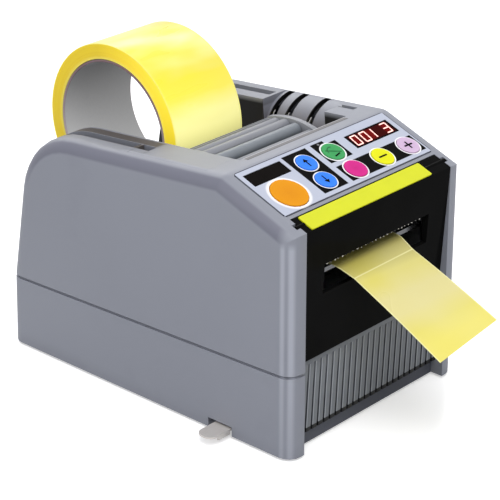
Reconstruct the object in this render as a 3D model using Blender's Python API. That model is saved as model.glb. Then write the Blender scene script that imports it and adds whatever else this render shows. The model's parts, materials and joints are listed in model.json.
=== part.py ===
# Electric tape dispenser for a shop counter: it feeds adhesive tape from a loose roll, and a motor blade
# cuts it to the length set on the keypad. Metres, +Z up, -Y to the front, the desk at z = 0.
# "back" below is a distance behind the front plane, and "rise" a height over the console or the top.

import math
from math import cos, pi, radians, sin, tan

import bmesh
import bpy

# Housing form, seen from its right side
body_width = 0.140
body_depth = 0.2135
desk_gap = 0.0015
front_height = 0.1276
console_angle = radians(20.7)
ridge_back = 0.0505
top_fall = radians(4.8)
rear_lean = radians(10.1)
base_rear_lean = radians(2)
rear_corner_radius = 0.045
ridge_radius = 0.008
edge_radius = 0.008
wall = 0.0025
clearance = 0.0003
overrun = 0.004
seam_front_height = 0.049
seam_rear_height = 0.043
seam_groove_height = 0.0016
seam_groove_depth = 0.001

# Front between the two pillars: cover, ribbed grille and sill, on one leaning plane
pillar_width = 0.011
pillar_depth = 0.0148
front_lean = radians(3.8)
front_plane_height = 0.126
cover_thickness = 0.002
cover_low_edge = 0.052
flange_reach = 0.0118
hinge_reach = 0.0060
hinge_depth = 0.0010
hinge_pin_radius = 0.0015
outlet_width = 0.086
outlet_low = 0.088
outlet_high = 0.105
outlet_frame_width = 0.0016
outlet_frame_depth = 0.0022
grille_low_edge = 0.0095
grille_plate = 0.0014
rib_height = 0.0013
rib_count = 24
rib_width_share = 0.72
grille_band = 0.0045
sill_height = 0.0065
sill_depth = 0.0065

# Well for the roll, its slotted shoulders and its grooved rim
well_front_back = 0.0595
well_half_width = 0.043
well_floor_height = 0.062
well_shelf_height = 0.080
well_shelf_end_back = 0.094
well_slope_run = 0.016
rear_wall_height = 0.0815
throat_width = 0.076
throat_low = 0.0835
throat_high = 0.124
shoulder_front_back = 0.0750
shoulder_rear_back = 0.1203
shoulder_radius = 0.021
shoulder_drop = 0.0003
slot_width = 0.0042
slot_backs = (0.0893, 0.1055, 0.1160)
left_slot_end = 0.0530
rim_groove_depth = 0.005
rear_groove_sides = (0.0513, 0.0574)
front_groove_sides = (0.0540, 0.0580)
front_groove_back = 0.0637

# Keypad: printed overlay, windows, display and seven keys, placed from the overlay's low left corner
overlay_width = 0.120
overlay_length = 0.0375
overlay_start = 0.0145
overlay_thickness = 0.0012
overlay_proud = 0.0003
overlay_corner_radius = 0.002
overlay_ledge = 0.003
display_centre = (0.0988, 0.0266)
display_size = (0.0354, 0.0108)
window_centre = (0.0175, 0.0293)
window_size = (0.0282, 0.0094)
lamp_centre = (0.0624, 0.0338)
lamp_radius = 0.0011
key_proud = 0.0005
key_travel = 0.0005
key_stem_radius = 0.0022
keys = {
    "start_key": ((0.0163, 0.0124), 0.0104),
    "up_key": ((0.0442, 0.0257), 0.0060),
    "down_key": ((0.0432, 0.0108), 0.0060),
    "mode_key": ((0.0655, 0.0256), 0.0065),
    "select_key": ((0.0662, 0.0096), 0.0065),
    "minus_key": ((0.0887, 0.0097), 0.0065),
    "plus_key": ((0.1104, 0.0097), 0.0065),
}
board_thickness = 0.0016
board_depth = 0.0058
board_margin = 0.002
board_spacer_radius = 0.0012
switch_size = 0.006

# Arched guide cover and its roller
arch_peak_back = 0.0905
arch_peak_height = 0.1392
arch_radius = 0.054
guide_front_gap = 0.0031
guide_length = 0.046
guide_half_width = 0.0372
guide_rail_width = 0.0036
guide_rail_height = 0.0085
guide_slat_drop = 0.0010
guide_slat_thickness = 0.0022
guide_pivot_run = 0.0075
guide_pivot_depth = 0.0045
guide_pin_radius = 0.0016
guide_window_start = 0.0168
guide_window_length = 0.0120
slat_groove_width = 0.0012
slat_groove_depth = 0.0009
slat_groove_runs = (0.0350, 0.0426)
guide_roller_radius = 0.0038
guide_roller_run = 0.0241
guide_axle_radius = 0.0015

# Tape roll and the two rollers that it lies on
tape_width = 0.053
tape_centre = -0.003
roll_back = 0.167
roll_height = 0.131
roll_radius = 0.049
core_outer_radius = 0.0402
core_thickness = 0.0016
support_radius = 0.005
support_length = 0.062
support_axle_radius = 0.002
support_front_angle = radians(-32)
support_rear_angle = radians(22)

# Feed unit on its sheet-metal frame
frame_half_width = 0.0475
frame_sheet = 0.0015
frame_front_back = 0.0088
frame_rear_back = 0.054
frame_low = 0.058
frame_high = 0.116
frame_post_radius = 0.004
frame_post_inset = 0.010
feed_back = 0.024
feed_roller_radius = 0.0065
feed_shaft_radius = 0.0025
feed_roller_length = 0.080
pinch_roller_radius = 0.0045
pinch_shaft_radius = 0.002
strip_height = 0.0980
strip_thickness = 0.0003
gear_module = 0.0008
feed_gear_teeth = 36
pinion_teeth = 12
gear_width = 0.005
gear_root_share = 1.25
gear_tip_share = 0.9
tooth_foot_share = 0.36
tooth_tip_share = 0.13
pinion_direction = radians(-36.9)
motor_radius = 0.012
motor_length = 0.034
motor_shaft_radius = 0.0015
blade_thickness = 0.001
blade_height = 0.0145
blade_lift = 0.0015
blade_stroke = 0.006
blade_tooth_pitch = 0.003
blade_tooth_height = 0.0012
fixed_blade_depth = 0.005
fixed_blade_height = 0.0024
crank_radius = 0.0075
crank_thickness = 0.003
crank_pin_radius = 0.001
yoke_thickness = 0.0012
yoke_play = 0.0009
yoke_margin = 0.0022
yoke_tab_height = 0.0070
blade_overhang = 0.0042

# Tape strip that hangs out of the outlet: back and height on its left and right edges
strip_start_back = 0.032
strip_bend_back = 0.0055
strip_crease_left = (-0.0068, 0.0946)
strip_crease_right = (-0.0034, 0.0924)
strip_end_left = (-0.0631, 0.0659)
strip_end_right = (-0.0594, 0.0692)
strip_steps = 4

# Base: feet, screws, side lever, power inlet and switch
foot_radius = 0.007
foot_recess = 0.0012
foot_inset_side = 0.016
foot_inset_end = 0.022
boss_radius = 0.0045
boss_side = 0.0635
boss_front_back = 0.028
boss_rear_back = 0.180
boss_rise = 0.020
screw_radius = 0.0015
screw_head_radius = 0.0028
screw_head_height = 0.0014
screw_recess = 0.0019
lever_back = 0.0475
lever_width = 0.0115
lever_reach = 0.0152
lever_pivot_side = 0.050
lever_sheet = 0.0012
lever_height = 0.0048
lever_lip = 0.0020
lever_swing = radians(12)
lever_pin_radius = 0.002
lever_pin_head_radius = 0.0036
lever_corner_share = 0.8
rear_fitting_height = 0.0255
inlet_side = 0.034
inlet_radius = 0.005
inlet_flange_radius = 0.0065
inlet_flange_thickness = 0.0012
inlet_length = 0.011
inlet_bore_radius = 0.0032
inlet_bore_depth = 0.008
inlet_pin_radius = 0.001
switch_side = -0.034
bezel_width = 0.016
bezel_length = 0.022
bezel_flange = 0.0015
bezel_body_width = 0.013
bezel_body_length = 0.0192
bezel_body_depth = 0.009
rocker_width = 0.0106
rocker_length = 0.0162
rocker_depth = 0.003
rocker_tilt = radians(8)

# Facets
arc_step = radians(10)
fine_circle = 24
round_over_steps = 4
coarse_circle = 16

# Worked out from the above
front_y = -body_depth / 2
ridge_height = front_height + ridge_back * tan(console_angle)
front_half = body_width / 2 - pillar_width
tape_top = strip_height + strip_thickness
parts = None
cutters = None
console_mount = None

# How an outline's flat drawing stands in the world
SIDE_VIEW = (pi / 2, 0, pi / 2)
FRONT_VIEW = (pi / 2, 0, 0)
PLAN_VIEW = (0, 0, 0)
ALONG_X = (0, pi / 2, 0)


def clear_scene():
    """Empties the file and makes one collection for the parts and one for the cutters."""
    global parts, cutters
    for obj in list(bpy.data.objects):
        bpy.data.objects.remove(obj)
    parts = bpy.data.collections.new("tape_dispenser")
    cutters = bpy.data.collections.new("cutters")
    for collection in (parts, cutters):
        bpy.context.scene.collection.children.link(collection)


def material(name, color, roughness, metallic=0.0):
    made = bpy.data.materials.new(name)
    made.use_nodes = True
    shader = made.node_tree.nodes["Principled BSDF"]
    shader.inputs["Base Color"].default_value = (*color, 1)
    shader.inputs["Roughness"].default_value = roughness
    shader.inputs["Metallic"].default_value = metallic
    made.diffuse_color = (*color, 1)
    return made


def put(name, mesh, finish=None, at=(0, 0, 0), turn=(0, 0, 0), parent=None):
    """Adds a part with its finish, or without one a cutter that no render shows."""
    obj = bpy.data.objects.new(name, mesh)
    (parts if finish else cutters).objects.link(obj)
    obj.location = at
    obj.rotation_euler = turn
    obj.parent = parent
    if finish:
        mesh.materials.clear()
        mesh.materials.append(finish)
        mesh.shade_smooth()
        mesh.set_sharp_from_angle(angle=radians(30))
    else:
        obj.hide_render = True
        obj.display_type = "WIRE"
    return obj


def empty(name, at, turn=(0, 0, 0), parent=None):
    obj = bpy.data.objects.new(name, None)
    parts.objects.link(obj)
    obj.empty_display_size = wall
    obj.location = at
    obj.rotation_euler = turn
    obj.parent = parent
    return obj


def cut(obj, *tools):
    for tool in tools:
        boolean(obj, tool, "DIFFERENCE")


def join(obj, *tools):
    for tool in tools:
        boolean(obj, tool, "UNION")


def boolean(obj, tool, operation):
    step = obj.modifiers.new(tool.name, "BOOLEAN")
    step.operation = operation
    step.solver = "EXACT"
    step.object = tool


def outline_mesh(name, loops, thickness):
    """A flat outline, with holes if it has more than one loop, thickened both ways from its plane."""
    curve = bpy.data.curves.new(name, "CURVE")
    curve.dimensions = "2D"
    curve.fill_mode = "BOTH"
    curve.extrude = thickness / 2
    for loop in loops:
        spline = curve.splines.new("POLY")
        spline.points.add(len(loop) - 1)
        for point, (u, v) in zip(spline.points, loop):
            point.co = (u, v, 0, 1)
        spline.use_cyclic_u = True
    drawn = bpy.data.objects.new(name, curve)
    bpy.context.scene.collection.objects.link(drawn)
    graph = bpy.context.evaluated_depsgraph_get()
    mesh = bpy.data.meshes.new_from_object(drawn.evaluated_get(graph))
    bpy.data.objects.remove(drawn)
    bpy.data.curves.remove(curve)
    shape = bmesh.new()
    shape.from_mesh(mesh)
    bmesh.ops.remove_doubles(shape, verts=shape.verts, dist=1e-6)
    if len(loops) == 1:
        bmesh.ops.dissolve_limit(shape, angle_limit=radians(0.1), verts=shape.verts, edges=shape.edges)
    bmesh.ops.recalc_face_normals(shape, faces=shape.faces)
    shape.to_mesh(mesh)
    shape.free()
    return mesh


def prism(name, points, thickness, finish=None, holes=(), **place):
    return put(name, outline_mesh(name, [points, *holes], thickness), finish, **place)


def box(name, low, high, finish=None, **place):
    """A box between two corners, in its parent's or the world's axes."""
    shape = bmesh.new()
    bmesh.ops.create_cube(shape, size=1)
    for vertex in shape.verts:
        for i in range(3):
            vertex.co[i] = (low[i] + high[i]) / 2 + vertex.co[i] * (high[i] - low[i])
    mesh = bpy.data.meshes.new(name)
    shape.to_mesh(mesh)
    shape.free()
    return put(name, mesh, finish, **place)


def cylinder(name, radius, length, finish=None, sides=fine_circle, **place):
    """A cylinder about its own Z, centred on its origin."""
    shape = bmesh.new()
    bmesh.ops.create_cone(
        shape, cap_ends=True, segments=sides, radius1=radius, radius2=radius, depth=length
    )
    mesh = bpy.data.meshes.new(name)
    shape.to_mesh(mesh)
    shape.free()
    return put(name, mesh, finish, **place)


def turned(name, profile, finish=None, sides=fine_circle, **place):
    """A form turned about its own Z, from (radius, height) points that run outwards and up from the axis."""
    shape = bmesh.new()
    rings = []
    for radius, height in profile:
        count = sides if radius else 1
        angles = [2 * pi * i / sides for i in range(count)]
        rings.append([shape.verts.new((radius * cos(a), radius * sin(a), height)) for a in angles])
    for low, high in zip(rings, rings[1:]):
        for i in range(sides):
            j = (i + 1) % sides
            corners = [low[i % len(low)], low[j % len(low)], high[j % len(high)], high[i % len(high)]]
            shape.faces.new(list(dict.fromkeys(corners)))
    bmesh.ops.recalc_face_normals(shape, faces=shape.faces)
    mesh = bpy.data.meshes.new(name)
    shape.to_mesh(mesh)
    shape.free()
    return put(name, mesh, finish, **place)


def circle(radius, sides=fine_circle, centre=(0, 0)):
    turns = [2 * pi * i / sides for i in range(sides)]
    return [(centre[0] + radius * cos(t), centre[1] + radius * sin(t)) for t in turns]


def rectangle(width, height, centre=(0, 0)):
    u, v = width / 2, height / 2
    return [(centre[0] + a * u, centre[1] + b * v) for a, b in ((-1, -1), (1, -1), (1, 1), (-1, 1))]


def inset_corners(corners, inset):
    """The corners of a polygon, listed anticlockwise, with every side moved inwards."""
    moved = []
    for i, (x, y) in enumerate(corners):
        (ax, ay), (bx, by) = corners[i - 1], corners[(i + 1) % len(corners)]
        first = math.atan2(y - ay, x - ax)
        turn = (math.atan2(by - y, bx - x) - first + pi) % (2 * pi) - pi
        side = inset * tan(turn / 2)
        moved.append(
            (x - inset * sin(first) - side * cos(first), y + inset * cos(first) - side * sin(first))
        )
    return moved


def rounded(corners, radii):
    """The outline with an arc of the given radius at each corner."""
    points = []
    for i, ((x, y), radius) in enumerate(zip(corners, radii)):
        (ax, ay), (bx, by) = corners[i - 1], corners[(i + 1) % len(corners)]
        first = math.atan2(y - ay, x - ax)
        turn = (math.atan2(by - y, bx - x) - first + pi) % (2 * pi) - pi
        if radius <= 0:
            points.append((x, y))
            continue
        left = math.copysign(1, turn)
        back = radius * abs(tan(turn / 2))
        centre_x = x - back * cos(first) - left * radius * sin(first)
        centre_y = y - back * sin(first) + left * radius * cos(first)
        steps = max(1, math.ceil(abs(turn) / arc_step))
        for k in range(steps + 1):
            angle = first + turn * k / steps - left * pi / 2
            points.append((centre_x + radius * cos(angle), centre_y + radius * sin(angle)))
    return points


def console_height(back):
    return front_height + back * tan(console_angle)


def top_height(back):
    return ridge_height - (back - ridge_back) * tan(top_fall)


def rear_back(height):
    seam_back = body_depth - (seam_rear_height - desk_gap) * tan(base_rear_lean)
    if height < seam_rear_height:
        return body_depth - (height - desk_gap) * tan(base_rear_lean)
    return seam_back - (height - seam_rear_height) * tan(rear_lean)


def front_face_back(height):
    """How far the leaning plane of cover and grille lies behind the front plane."""
    return (front_plane_height - height) * tan(front_lean)


def seam_height(back):
    return seam_front_height + (seam_rear_height - seam_front_height) * back / body_depth


def body_corners():
    # The rear corner is where the falling top meets the leaning rear
    top_at_front = ridge_height + ridge_back * tan(top_fall)
    rear_at_desk = rear_back(seam_rear_height) + seam_rear_height * tan(rear_lean)
    corner_back = (rear_at_desk - top_at_front * tan(rear_lean)) / (1 - tan(top_fall) * tan(rear_lean))
    return [
        (0, desk_gap),
        (body_depth, desk_gap),
        (rear_back(seam_rear_height), seam_rear_height),
        (corner_back, top_height(corner_back)),
        (ridge_back, ridge_height),
        (0, front_height),
    ]


def body_form(name, inset=0):
    """The whole housing as one closed form, or the same form moved inwards for a hollow."""
    radii = (0, 0, 0, rear_corner_radius - inset, ridge_radius - inset, 0)
    outline = rounded(inset_corners(body_corners(), inset), radii)
    half = body_width / 2 - inset
    mesh = outline_mesh(name, [outline], 2 * half)
    shape = bmesh.new()
    shape.from_mesh(mesh)
    lowest = min(v.co.y for v in shape.verts)
    round_over = [
        e
        for e in shape.edges
        if abs(e.verts[0].co.z - e.verts[1].co.z) < wall / 2
        and max(v.co.y for v in e.verts) > lowest + wall / 2
    ]
    bmesh.ops.bevel(
        shape,
        geom=round_over,
        offset=edge_radius - inset,
        segments=round_over_steps,
        profile=0.5,
        affect="EDGES",
        clamp_overlap=False,
    )
    bmesh.ops.recalc_face_normals(shape, faces=shape.faces)
    shape.to_mesh(mesh)
    shape.free()
    return mesh


def machine(back=0, height=0, side=0):
    """A point of the machine in world axes."""
    return (side, front_y + back, height)


def seam_box(name, low_gap, high_gap):
    """A wide slab whose faces lie at these distances from the seam plane."""
    return box(
        name,
        (-body_width, -body_depth, low_gap),
        (body_width, body_depth, high_gap),
        at=machine(body_depth / 2, seam_height(body_depth / 2)),
        turn=(math.atan2(seam_rear_height - seam_front_height, body_depth), 0, 0),
    )


def top_prism(name, outline, front, rear, mirror=False):
    """An outline drawn across the falling top, its rise counted from the top, run from front to rear."""
    middle = (front + rear) / 2
    if mirror:
        outline = [(-u, v) for u, v in reversed(outline)]
    return prism(
        name,
        outline,
        (rear - front) / cos(top_fall),
        at=machine(middle, top_height(middle)),
        turn=(pi / 2 - top_fall, 0, 0),
    )


def well_outline(grow):
    """The side of the well: a shelf, a slope and the floor, open at the top and over the low rear wall."""
    sky = roll_height + roll_radius
    inner = wall / cos(rear_lean)
    slope = math.atan2(well_shelf_height - well_floor_height, well_slope_run)
    shift = grow * tan(slope / 2)
    return [
        (well_front_back - grow, sky),
        (well_front_back - grow, well_shelf_height - grow),
        (well_shelf_end_back - shift, well_shelf_height - grow),
        (well_shelf_end_back + well_slope_run - shift, well_floor_height - grow),
        (rear_back(well_floor_height) - inner + grow, well_floor_height - grow),
        (rear_back(rear_wall_height) - inner + grow, rear_wall_height - grow),
        (body_depth + overrun, rear_wall_height - grow),
        (body_depth + overrun, sky),
    ]


def shoulder_outline(grow):
    """Across the machine: the space over the two quarter-round shoulders, or with grow the skin under it."""
    centre_side = well_half_width + shoulder_radius
    centre_rise = -shoulder_drop - shoulder_radius
    radius = shoulder_radius - grow
    outer = body_width / 2 + overrun if grow else centre_side
    steps = math.ceil(pi / 2 / arc_step)
    right = [(outer, overrun)]
    if grow:
        right.append((outer, centre_rise + radius))
    for k in range(steps + 1):
        angle = pi / 2 + pi / 2 * k / steps
        right.append((centre_side + radius * cos(angle), centre_rise + radius * sin(angle)))
    return right + [(-u, v) for u, v in reversed(right)]


def groove_outline(sides, depth, spread=0):
    """Across the machine: a groove in the top, or with spread the solid that holds it."""
    low, high = sides
    return [
        (high + spread, overrun),
        (low - spread, overrun),
        (low - spread, -depth),
        (high + spread, -depth),
    ]


def kept_inside(prefix):
    """What stays solid inside the hollow: the pillars' inner walls and the screw bosses."""
    tools = []
    for side in (-1, 1):
        edges = sorted((side * (front_half - wall), side * (front_half + wall)))
        tools.append(
            box(
                f"{prefix}_pillar_wall_{side}",
                (edges[0], front_y - overrun, -overrun),
                (edges[1], front_y + pillar_depth, ridge_height),
            )
        )
        for end, back in (("front", boss_front_back), ("rear", boss_rear_back)):
            tools.append(
                cylinder(
                    f"{prefix}_boss_{end}_{side}",
                    boss_radius,
                    2 * (seam_height(back) + boss_rise),
                    sides=coarse_circle,
                    at=machine(back, 0, side * boss_side),
                )
            )
    return tools


def screw_places():
    """Where the four screws stand: side and back."""
    ends = {"front": boss_front_back, "rear": boss_rear_back}
    return {
        f"{end}_{hand}": (s * boss_side, back)
        for end, back in ends.items()
        for hand, s in (("left", -1), ("right", 1))
    }


def screw_profile(gap, low, head_high, high):
    """The screw's form, or with a gap round it the hole's."""
    head, shaft = screw_head_radius + gap, screw_radius + gap
    return [(0, low), (head, low), (head, head_high), (shaft, head_high), (shaft, high), (0, high)]


def front_opening(prefix):
    """The space between the pillars, with a round undercut in which the cover's flange turns."""
    back, height = cover_hinge()
    reach = flange_space_radius()
    outline = [
        (-overrun, -overrun),
        (back + reach, -overrun),
        (back + reach, height - reach),
        (back, height),
        (back, ridge_height + overrun),
        (-overrun, ridge_height + overrun),
    ]
    return prism(f"{prefix}_front_opening", outline, 2 * front_half, at=machine(), turn=SIDE_VIEW)


def flange_space():
    back, height = cover_hinge()
    place = machine(back, height)
    return cylinder("flange_space", flange_space_radius(), 2 * front_half, at=place, turn=ALONG_X)


def flange_space_radius():
    return math.hypot(flange_reach - hinge_reach, hinge_depth) + clearance


def cover_hinge():
    """The cover's hinge axis, in the thickness of its flange: back and height."""
    back = hinge_reach * cos(console_angle) + hinge_depth * sin(console_angle)
    height = front_height + hinge_reach * sin(console_angle) - hinge_depth * cos(console_angle)
    return back, height


def guide_pivot():
    back = well_front_back + guide_pivot_run
    return back, arch_height(back) - guide_pivot_depth


def arch_height(back):
    return arch_peak_height - arch_radius + math.sqrt(arch_radius**2 - (back - arch_peak_back) ** 2)


def arch_band(front, rear, drop, thickness):
    """A strip of the guide cover's arch, seen from the side."""
    steps = max(1, math.ceil((rear - front) / (arch_radius * arc_step / 2)))
    backs = [front + (rear - front) * k / steps for k in range(steps + 1)]
    top = [(b, arch_height(b) - drop) for b in backs]
    return [(b, z - thickness) for b, z in top] + list(reversed(top))


def make_upper_housing(finish):
    """Moulded upper shell: sides, console, shoulders and the roll's well in one piece."""
    hollow = put("upper_hollow", body_form("upper_hollow", wall), at=machine(), turn=SIDE_VIEW)
    cut(hollow, *kept_inside("upper"))
    cut(
        hollow,
        prism(
            "tub_skin",
            well_outline(wall),
            2 * (well_half_width + wall),
            at=machine(),
            turn=SIDE_VIEW,
        ),
        top_prism(
            "shoulder_skin",
            shoulder_outline(wall),
            shoulder_front_back - wall,
            shoulder_rear_back + wall,
        ),
    )
    for mirror in (False, True):
        label = "left" if mirror else "right"
        solid = (well_half_width, body_width / 2)
        depth = rim_groove_depth + wall
        cut(
            hollow,
            top_prism(
                f"rear_rim_{label}",
                groove_outline(solid, depth),
                shoulder_rear_back,
                body_depth,
                mirror,
            ),
            top_prism(
                f"front_rim_{label}",
                groove_outline((well_half_width, front_groove_sides[1] + wall), depth),
                front_groove_back - wall,
                shoulder_front_back,
                mirror,
            ),
        )

    housing = put(
        "upper_housing", body_form("upper_housing"), finish, at=machine(), turn=SIDE_VIEW
    )
    groove = put(
        "upper_groove_core", body_form("upper_groove_core", seam_groove_depth), at=machine(), turn=SIDE_VIEW
    )
    band = seam_box("upper_groove", -overrun, seam_groove_height / 2)
    cut(band, groove)
    cut(housing, seam_box("below_seam", -body_depth, clearance / 2), hollow, band)
    cut(housing, front_opening("upper"), flange_space())
    cut(
        housing,
        prism("well_space", well_outline(0), 2 * well_half_width, at=machine(), turn=SIDE_VIEW),
        top_prism("shoulder_space", shoulder_outline(0), shoulder_front_back, shoulder_rear_back),
        box(
            "throat",
            (-throat_width / 2, front_y + well_front_back - 2 * wall, throat_low),
            (throat_width / 2, front_y + well_front_back + wall, throat_high),
        ),
    )
    # The right slots reach the shoulder's crest, and the left ones stay on its inner face.
    slot_start = well_half_width + wall
    for mirror in (False, True):
        label = "left" if mirror else "right"
        slot_end = left_slot_end if mirror else well_half_width + shoulder_radius
        slot = groove_outline((slot_start, slot_end), shoulder_radius)
        cut(
            housing,
            top_prism(
                f"rear_groove_{label}",
                groove_outline(rear_groove_sides, rim_groove_depth),
                shoulder_rear_back + wall,
                body_depth,
                mirror,
            ),
            top_prism(
                f"front_groove_{label}",
                groove_outline(front_groove_sides, rim_groove_depth),
                front_groove_back,
                shoulder_front_back + wall,
                mirror,
            ),
        )
        for number, middle in enumerate(slot_backs):
            start, end = middle - slot_width / 2, middle + slot_width / 2
            cut(housing, top_prism(f"slot_{label}_{number}", slot, start, end, mirror))
    cut_console(housing)
    hinge_back, hinge_height = cover_hinge()
    notch_half = hinge_pin_radius + clearance
    pivot_back, pivot_height = guide_pivot()
    cut(
        housing,
        box(
            "hinge_notches",
            (-front_half - wall - clearance, front_y + hinge_back - notch_half, hinge_height - notch_half),
            (front_half + wall + clearance, front_y + hinge_back + notch_half, ridge_height),
        ),
        cylinder(
            "guide_pin_holes",
            guide_pin_radius + clearance,
            2 * (well_half_width + wall + clearance),
            sides=coarse_circle,
            at=machine(pivot_back, pivot_height),
            turn=ALONG_X,
        ),
    )
    for end, (back, height) in support_places().items():
        cut(
            housing,
            cylinder(
                f"support_axle_holes_{end}",
                support_axle_radius + clearance,
                2 * (well_half_width + wall + clearance),
                sides=coarse_circle,
                at=machine(back, height),
                turn=ALONG_X,
            ),
        )
    for name, (side, back) in screw_places().items():
        cut(
            housing,
            cylinder(
                f"upper_screw_hole_{name}",
                screw_radius + clearance,
                2 * (seam_height(back) + boss_rise - wall),
                sides=coarse_circle,
                at=machine(back, 0, side),
            ),
        )
    return housing


def on_console(point):
    """A point of the overlay, given from its low left corner, in the console's own axes."""
    return point[0] - overlay_width / 2, point[1] - overlay_length / 2


def cut_console(housing):
    global console_mount
    middle = overlay_start + overlay_length / 2
    console_mount = empty(
        "console_mount",
        machine(middle * cos(console_angle), front_height + middle * sin(console_angle)),
        (console_angle, 0, 0),
    )
    floor = overlay_proud - overlay_thickness - clearance
    recess = rounded(
        rectangle(overlay_width + 2 * clearance, overlay_length + 2 * clearance),
        [overlay_corner_radius + clearance] * 4,
    )
    opening = rectangle(overlay_width - 2 * overlay_ledge, overlay_length - 2 * overlay_ledge)
    start_centre, start_radius = keys["start_key"]
    relief = key_travel + clearance
    cut(
        housing,
        prism(
            "overlay_recess",
            recess,
            overrun - floor,
            at=(0, 0, (overrun + floor) / 2),
            parent=console_mount,
        ),
        prism(
            "console_opening",
            opening,
            4 * wall,
            at=(0, 0, floor - wall),
            parent=console_mount,
        ),
        # The widest key reaches over the ledge, which gives it room to travel.
        cylinder(
            "start_key_relief",
            start_radius + clearance,
            2 * relief,
            at=(*on_console(start_centre), floor),
            parent=console_mount,
        ),
    )


def make_base_tray(finish):
    """Moulded base: floor, low walls, posts for the feed frame and the screw bosses."""
    hollow = put("base_hollow", body_form("base_hollow", wall), at=machine(), turn=SIDE_VIEW)
    cut(hollow, *kept_inside("base"))
    for number, (side, back) in enumerate(frame_post_places()):
        cut(
            hollow,
            cylinder(
                f"post_core_{number}",
                frame_post_radius,
                2 * frame_low,
                sides=coarse_circle,
                at=machine(back, 0, side),
            ),
        )
    base = put("base_tray", body_form("base_tray"), finish, at=machine(), turn=SIDE_VIEW)
    groove = put(
        "base_groove_core", body_form("base_groove_core", seam_groove_depth), at=machine(), turn=SIDE_VIEW
    )
    band = seam_box("base_groove", -seam_groove_height / 2, overrun)
    cut(band, groove)
    cut(base, seam_box("above_seam", -clearance / 2, body_depth), hollow, band)
    for number, (side, back) in enumerate(frame_post_places()):
        low = seam_height(back) - wall
        high = frame_low - clearance
        join(
            base,
            cylinder(
                f"post_{number}",
                frame_post_radius,
                high - low,
                sides=coarse_circle,
                at=machine(back, (low + high) / 2, side),
            ),
        )
    cut(base, front_opening("base"))
    for name, (side, back) in screw_places().items():
        profile = screw_profile(clearance, 0, desk_gap + screw_recess, seam_front_height + boss_rise)
        cut(
            base,
            turned(
                f"base_screw_hole_{name}", profile, sides=coarse_circle, at=machine(back, 0, side)
            ),
        )
    for name, (side, back) in foot_places().items():
        cut(
            base,
            cylinder(
                f"{name}_recess",
                foot_radius + clearance,
                2 * (desk_gap + foot_recess),
                at=machine(back, 0, side),
            ),
        )
    half_slot = lever_width / 2 + 2 * clearance
    swing = (body_width / 2 - lever_pivot_side) * tan(lever_swing)
    cut(
        base,
        box(
            "lever_slot",
            (-body_width, front_y + lever_back - half_slot, 0),
            (
                -body_width / 2 + wall + overrun,
                front_y + lever_back + half_slot + swing,
                lever_height + lever_sheet + lever_lip / 2,
            ),
        ),
        cylinder(
            "lever_pin_hole",
            lever_pin_radius + clearance,
            2 * (desk_gap + 2 * wall),
            sides=coarse_circle,
            at=machine(lever_back, 0, -lever_pivot_side),
        ),
    )
    return base


def frame_post_places():
    side = frame_half_width - frame_post_inset
    backs = (frame_front_back + frame_post_inset, frame_rear_back - frame_post_inset)
    return [(s * side, b) for s in (-1, 1) for b in backs]


def foot_places():
    side = body_width / 2 - foot_inset_side
    ends = {"front": foot_inset_end, "rear": body_depth - foot_inset_end}
    return {
        f"foot_{end}_{hand}": (s * side, back)
        for end, back in ends.items()
        for hand, s in (("left", -1), ("right", 1))
    }


def make_feet(finish):
    height = desk_gap + foot_recess - clearance
    for name, (side, back) in foot_places().items():
        cylinder(name, foot_radius, height, finish, at=machine(back, height / 2, side))


def make_screws(finish):
    """Four long screws that join the base to the upper shell from below."""
    head_high = desk_gap + screw_recess - clearance
    for name, (side, back) in screw_places().items():
        top = seam_height(back) + boss_rise / 2
        profile = screw_profile(0, head_high - screw_head_height, head_high, top)
        turned(f"screw_{name}", profile, finish, sides=coarse_circle, at=machine(back, 0, side))


def make_front_cover(finish):
    """Glossy front cover: a panel with the tape outlet and a flange folded back over the console."""
    hinge_back, hinge_height = cover_hinge()
    low = cover_low_edge
    bend = (0, front_height)
    flange_end = (flange_reach * cos(console_angle), front_height + flange_reach * sin(console_angle))
    lift = (-sin(console_angle), cos(console_angle))
    inner_end = (
        flange_end[0] - lift[0] * cover_thickness,
        flange_end[1] - lift[1] * cover_thickness,
    )
    skin = cover_thickness / cos(front_lean)
    inner_back = front_face_back(front_height) + skin
    inner_bend = (inner_back, console_height(inner_back) - cover_thickness / cos(console_angle))
    outline = [
        (front_face_back(low), low),
        (front_face_back(low) + skin, low),
        inner_bend,
        inner_end,
        flange_end,
        bend,
        (front_face_back(front_plane_height), front_plane_height),
    ]
    hinge = empty("front_cover_hinge", machine(hinge_back, hinge_height))
    shifted = [(b - hinge_back, z - hinge_height) for b, z in outline]
    cover = prism(
        "front_cover",
        shifted,
        2 * (front_half - clearance),
        finish,
        turn=SIDE_VIEW,
        parent=hinge,
    )
    pin_length = 2 * (front_half + wall - clearance)
    join(
        cover,
        cylinder(
            "front_cover_pins",
            hinge_pin_radius,
            pin_length,
            sides=coarse_circle,
            turn=ALONG_X,
            parent=hinge,
        ),
    )
    middle = (outlet_low + outlet_high) / 2
    frame_back = front_face_back(middle) + skin - clearance
    rim = (outlet_width + 2 * outlet_frame_width, outlet_high - outlet_low + 2 * outlet_frame_width)
    join(
        cover,
        prism(
            "outlet_frame",
            rectangle(*rim),
            outlet_frame_depth + clearance,
            at=(
                0,
                frame_back + outlet_frame_depth / 2 - hinge_back,
                middle - hinge_height,
            ),
            turn=(pi / 2 - front_lean, 0, 0),
            parent=hinge,
        ),
    )
    cut(
        cover,
        box(
            "outlet",
            (-outlet_width / 2, -pillar_depth - hinge_back, outlet_low - hinge_height),
            (outlet_width / 2, pillar_depth - hinge_back, outlet_high - hinge_height),
            parent=hinge,
        ),
    )
    return cover


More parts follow.
